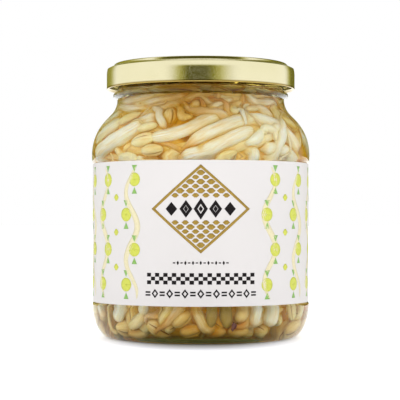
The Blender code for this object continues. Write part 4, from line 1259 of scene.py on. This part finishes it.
def wiggled(line, length, root, rng, strong):
    """Small turns that a growing stem makes, more at its root."""
    m = len(line)
    t = np.linspace(0, 1, m)
    amount = strong * (0.10 + 0.5 * np.clip(1 - t / max(root, 0.05), 0, 1))
    wave = np.stack([np.sin(t * length * f + rng.uniform(0, 6)) for f in (0.31, 0.37, 0.27)], axis=1)
    return line + wave * amount[:, None]


def clamp_inside(line, r):
    p = line[None].copy()
    keep_inside(p, PLUMP * np.asarray(r)[None] + (0.1 - GAP))
    return p[0]


for k, name in enumerate(names):
    rng = np.random.default_rng(900 + k)
    beads = every[k]
    length = float(np.sqrt(((beads[1:] - beads[:-1]) ** 2).sum(axis=1)).sum())
    if halves[k]:
        half, width = known[name]
        u = np.linspace(-1, 1, 44)
        u = np.sin(u * math.pi / 2)
        middle = beads.sum(axis=0) / BEADS
        axis = beads[-1] - beads[0]
        axis /= math.sqrt(axis @ axis)
        line = middle + axis * u[:, None] * half
        rx, ry, split, tone = bean_radii((u + 1) / 2, half, width, rng)
        olive = 0.75 if "olive" in name else 0.0
        roll = rng.uniform(0.9, 1.5)
        piece = skin(line, rx, ry, split, tone, 32, rng.uniform(0, 0.6), olive, roll, rng)
    else:
        if name in known:
            root, stem, head = known[name]
        else:
            stem = float(np.median(radii[k]))
            root, head = 0.3, (2.6 if (int(name[-2:]) - 1) % 3 else 0.0)
        line = smooth_line(beads, 96)
        line = wiggled(line, length, root, rng, 1.0)
        rx, ry, split, tone = grown_radii(np.linspace(0, 1, 96), length, root, stem, head, rng)
        line = clamp_inside(line, np.maximum(rx, ry))
        piece = skin(line, rx, ry, split, tone, 22, rng.uniform(0, 0.5), 0.0, rng.uniform(0.6, 1.9), rng)
    verts, faces, uv, sort = piece
    obj = mesh_object(name + "_flesh", verts, faces, FLESH, uv, sort, crowd=crowding(verts, k))
    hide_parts(name)
    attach(obj, "jar")



def fleck():
    """A torn scrap of dark seed coat, curled like the bean that it came off."""
    rng = np.random.default_rng(77)
    a = math.radians(18.5)
    out, across, up = np.array([math.sin(a), -math.cos(a), 0.0]), np.array([math.cos(a), math.sin(a), 0.0]), np.array([0.0, 0.0, 1.0])
    middle = out * (inner_radius(6.6) - 1.1) + up * 6.6
    rows, columns = 9, 25
    verts = []
    for layer in (0.0, 0.14):
        for i in range(rows):
            for k in range(columns):
                phi = 2 * math.pi * k / (columns - 1)
                s = i / (rows - 1) * (1 + 0.16 * math.sin(3 * phi + 1) + 0.1 * math.sin(7 * phi))
                x, z = 0.95 * s * math.cos(phi), 1.3 * s * math.sin(phi)
                bow = 0.55 * (1 - s * s) + 0.06 * math.sin(5 * x + 3 * z)
                verts.append(middle + across * (x + 0.25 * z) + up * z + out * (bow - layer))
    faces = []
    half = rows * columns
    for i in range(rows - 1):
        for k in range(columns - 1):
            q = i * columns + k
            faces.append([q, q + 1, q + columns + 1, q + columns])
            faces.append([half + q, half + q + columns, half + q + columns + 1, half + q + 1])
    rim = (rows - 1) * columns
    for k in range(columns - 1):
        faces.append([rim + k, rim + k + 1, half + rim + k + 1, half + rim + k])
    bm_obj = mesh_object("seed_coat_scrap", verts, faces, husk_material())
    bm = bmesh.new()
    bm.from_mesh(bm_obj.data)
    bmesh.ops.remove_doubles(bm, verts=bm.verts, dist=1e-6)
    bmesh.ops.recalc_face_normals(bm, faces=bm.faces)
    bm.to_mesh(bm_obj.data)
    bm.free()
    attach(bm_obj, "jar")


fleck()

batch, batch_size = [], 40
for k, (kind, root, stem, head) in enumerate(facts):
    rng = np.random.default_rng(5000 + k)
    beads = every[len(settled) + k]
    length = float(np.sqrt(((beads[1:] - beads[:-1]) ** 2).sum(axis=1)).sum())
    if kind == "bean":
        width, half = stem, head
        u = np.sin(np.linspace(-1, 1, 26) * math.pi / 2)
        middle = beads.sum(axis=0) / BEADS
        axis = beads[-1] - beads[0]
        axis /= math.sqrt(axis @ axis)
        rx, ry, split, tone = bean_radii((u + 1) / 2, half, width, rng)
        olive = rng.uniform(0.4, 0.8) if k % 5 == 0 else 0.0
        piece = skin(middle + axis * u[:, None] * half, rx, ry, split, tone, 20, rng.uniform(0, 1), olive, rng.uniform(0, 3), rng)
    else:
        middle = beads[BEADS // 2]
        outer = math.hypot(middle[0], middle[1]) > inner_radius(float(middle[2])) - 13
        m = (50 if outer else 26) if kind == "sprout" else 40
        line = wiggled(smooth_line(beads, m), length, root, rng, 1.0 if kind == "sprout" else 0.5)
        if kind == "sprout":
            rx, ry, split, tone = grown_radii(np.linspace(0, 1, m), length, root, stem, head, rng)
        else:
            t = np.linspace(0, 1, m)
            rx = stem * (0.45 + 0.55 * t) * np.sqrt(np.clip(1 - np.abs(2 * t - 1) ** 12, 0.05, 1))
            ry, split, tone = rx * 0.95, np.zeros(m), 0.10 + 0.22 * t
        line = clamp_inside(line, np.maximum(rx, ry))
        piece = skin(line, rx, ry, split, tone, (14 if outer else 9) if kind == "sprout" else 8, rng.uniform(0, 1), 0.0, rng.uniform(0, 3), rng)
    batch.append((*piece, crowding(piece[0], len(settled) + k)))
    if len(batch) == batch_size or k == len(facts) - 1:
        verts, faces, uv, sort, crowd, base = [], [], [], [], [], 0
        for v, f, t, s, c in batch:
            verts.append(v)
            faces.extend([[i + base for i in face] for face in f])
            uv.append(t)
            sort.append(s)
            crowd.append(c)
            base += len(v)
        obj = mesh_object(f"more_sprouts_{k // batch_size + 1}", np.concatenate(verts), faces, FLESH, np.concatenate(uv), np.concatenate(sort), crowd=np.concatenate(crowd))
        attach(obj, "jar")
        batch = []


# ---- stage -----------------------------------------------------------------------------------------------------
def stage():
    m = Nodes("floor")
    soft = m.noise(3.0, 1.0)
    m.set(Roughness=0.9, Specular_IOR_Level=0.1)
    where = m.add("ShaderNodeTexCoord")
    far = m.add("ShaderNodeVectorMath", operation="LENGTH")
    m.link(where.outputs["Object"], far.inputs[0])
    # painted shadow: round the jar, centred in front of it, the floor's colour is darkened and its glow dimmed and made
    # bluish; right under the jar the floor keeps its colour but hardly glows
    place = m.add("ShaderNodeMapping")
    place.inputs["Location"].default_value = (0.0, 0.02, 0.0)
    place.inputs["Scale"].default_value = (1.3, 1.0, 1.0)
    m.link(where.outputs["Object"], place.inputs["Vector"])
    aside = m.add("ShaderNodeVectorMath", operation="LENGTH")
    m.link(place.outputs[0], aside.inputs[0])
    shade = m.add("ShaderNodeMapRange", interpolation_type="SMOOTHSTEP")
    m.link(aside.outputs["Value"], shade.inputs[0])
    for k, value in zip((1, 2, 3, 4), (0.004, 0.060, 0.36, 1.0)):
        shade.inputs[k].default_value = value
    under = m.add("ShaderNodeMapRange", interpolation_type="SMOOTHSTEP")
    m.link(far.outputs["Value"], under.inputs[0])
    for k, value in zip((1, 2, 3, 4), (0.029, 0.037, 0.1, 1.0)):
        under.inputs[k].default_value = value
    sweep = m.add("ShaderNodeMapRange", interpolation_type="SMOOTHSTEP")
    m.link(aside.outputs["Value"], sweep.inputs[0])
    for k, value in zip((1, 2, 3, 4), (0.018, 0.055, 0.0, 0.6)):
        sweep.inputs[k].default_value = value
    covered = m.add("ShaderNodeMapRange")
    m.link(far.outputs["Value"], covered.inputs[0])
    for k, value in zip((1, 2, 3, 4), (0.031, 0.033, 1.0, 0.0)):
        covered.inputs[k].default_value = value
    m.link(m.mix(m.math("MAXIMUM", shade.outputs[0], covered.outputs[0]), (0, 0, 0), m.ramp(soft, [(0.2, (0.915, 0.92, 0.965)), (0.8, (0.93, 0.935, 0.975))])), m.shader.inputs["Base Color"])
    m.link(m.mix(sweep.outputs[0], (0.8, 0.82, 1.0), (1.1, 1.1, 1.0)), m.shader.inputs["Emission Color"])
    beyond = m.add("ShaderNodeMapRange", interpolation_type="SMOOTHSTEP")
    m.link(far.outputs["Value"], beyond.inputs[0])
    for k, value in zip((1, 2, 3, 4), (0.1, 0.4, 0.0, 0.3)):
        beyond.inputs[k].default_value = value
    m.link(m.math("MULTIPLY", under.outputs[0], m.math("ADD", sweep.outputs[0], beyond.outputs[0])), m.shader.inputs["Emission Strength"])
    size = 12000.0
    floor = mesh_object("floor", [(-size, -size, -0.03), (size, -size, -0.03), (size, size, -0.03), (-size, size, -0.03)], [[0, 1, 2, 3]], m.mat, smooth=False)

    world = bpy.data.worlds.new("studio")
    bpy.context.scene.world = world
    world.use_nodes = True
    tree = world.node_tree
    tree.nodes.clear()
    out = tree.nodes.new("ShaderNodeOutputWorld")
    where = tree.nodes.new("ShaderNodeTexCoord")
    split = tree.nodes.new("ShaderNodeSeparateXYZ")
    tree.links.new(where.outputs["Generated"], split.inputs[0])

    def sums(operation, a, b=None):
        node = tree.nodes.new("ShaderNodeMath")
        node.operation = operation
        for k, value in enumerate((a, b)):
            if value is None:
                continue
            if hasattr(value, "is_output"):
                tree.links.new(value, node.inputs[k])
            else:
                node.inputs[k].default_value = value
        return node.outputs[0]

    def window(value, low, high, to_low=0.0, to_high=1.0):
        node = tree.nodes.new("ShaderNodeMapRange")
        node.interpolation_type = "SMOOTHSTEP"
        tree.links.new(value, node.inputs[0])
        for k, v in zip((1, 2, 3, 4), (low, high, to_low, to_high)):
            node.inputs[k].default_value = v
        return node.outputs[0]

    x, y, z = split.outputs
    flat = sums("SQRT", sums("ADD", sums("MULTIPLY", x, x), sums("MULTIPLY", y, y)))
    wide = sums("MAXIMUM", flat, 0.001)
    front = sums("DIVIDE", sums("MULTIPLY", y, -1.0), wide)
    right = sums("DIVIDE", x, wide)
    gap = sums("MULTIPLY", window(right, -0.72, -0.22, 0.0, 1.0), window(right, 0.08, 0.80, 1.0, 0.0))
    gap = sums("MULTIPLY", sums("MULTIPLY", gap, window(front, 0.3, 0.6, 0.0, 1.0)), sums("MULTIPLY", window(z, -0.5, -0.2, 0.0, 1.0), window(z, 0.17, 0.28, 1.0, 0.0)))
    flags = sums("MULTIPLY", window(front, -0.54, -0.84, 0.0, 0.84), window(front, -0.985, -0.995, 1.0, 0.0))
    flags = sums("MULTIPLY", sums("MULTIPLY", flags, window(right, -0.6, 0.1, 0.8, 1.0)), window(z, 0.74, 0.82, 1.0, 0.0))
    over = window(z, 0.82, 0.91, 0.0, 0.92)
    level = sums("MULTIPLY", sums("SUBTRACT", 1.0, sums("MULTIPLY", gap, 0.92)), sums("SUBTRACT", 1.0, flags))
    level = sums("MULTIPLY", level, sums("SUBTRACT", 1.0, over))
    glow = tree.nodes.new("ShaderNodeBackground")
    tint = tree.nodes.new("ShaderNodeMix")
    tint.data_type = "RGBA"
    tint.inputs[6].default_value = (1.0, 0.95, 0.15, 1)
    tint.inputs[7].default_value = (1.0, 1.0, 1.0, 1)
    tree.links.new(window(level, 0.2, 0.95), tint.inputs[0])
    tree.links.new(tint.outputs[2], glow.inputs[0])
    tree.links.new(sums("MULTIPLY", level, 1.0), glow.inputs[1])
    plain = tree.nodes.new("ShaderNodeBackground")
    plain.inputs[0].default_value = (1, 1, 1, 1)
    plain.inputs[1].default_value = 1.0
    path = tree.nodes.new("ShaderNodeLightPath")
    both = tree.nodes.new("ShaderNodeMixShader")
    tree.links.new(path.outputs["Is Camera Ray"], both.inputs[0])
    tree.links.new(glow.outputs[0], both.inputs[1])
    tree.links.new(plain.outputs[0], both.inputs[2])
    tree.links.new(both.outputs[0], out.inputs[0])

    def lamp(name, at, aim, size, watts):
        light = bpy.data.lights.new(name, "AREA")
        light.shape, light.size, light.energy = "DISK", size, watts
        obj = bpy.data.objects.new(name, light)
        bpy.context.scene.collection.objects.link(obj)
        from mathutils import Vector

        way = Vector(aim) - Vector(at)
        obj.location = at
        obj.rotation_euler = way.to_track_quat("-Z", "Y").to_euler()
        return obj

    for name, at, aim, size, watts in (
        ("front_fill", (0.0, -1.6, 0.55), (0, 0, 0.05), 1.1, 5.8),
        ("top_fill", (0.0, -0.1, 1.1), (0, 0, 0.04), 0.9, 3.4),
    ):
        obj = lamp(name, at, aim, size, watts)
        obj.visible_glossy = False
        obj.visible_transmission = False

    camera = bpy.data.cameras.new("camera")
    camera.sensor_width = 36.0
    camera.lens = 132.84
    camera.clip_end = 60
    eye = bpy.data.objects.new("camera", camera)
    bpy.context.scene.collection.objects.link(eye)
    eye.location = (-0.00026, -0.5443, 0.0425)
    eye.rotation_euler = (math.radians(90) + math.atan2(0.0504 - 0.0425, 0.5443), 0, 0)
    bpy.context.scene.camera = eye
    bpy.context.scene.view_settings.view_transform = "Standard"
    bpy.context.scene.view_settings.look = "None"


stage()
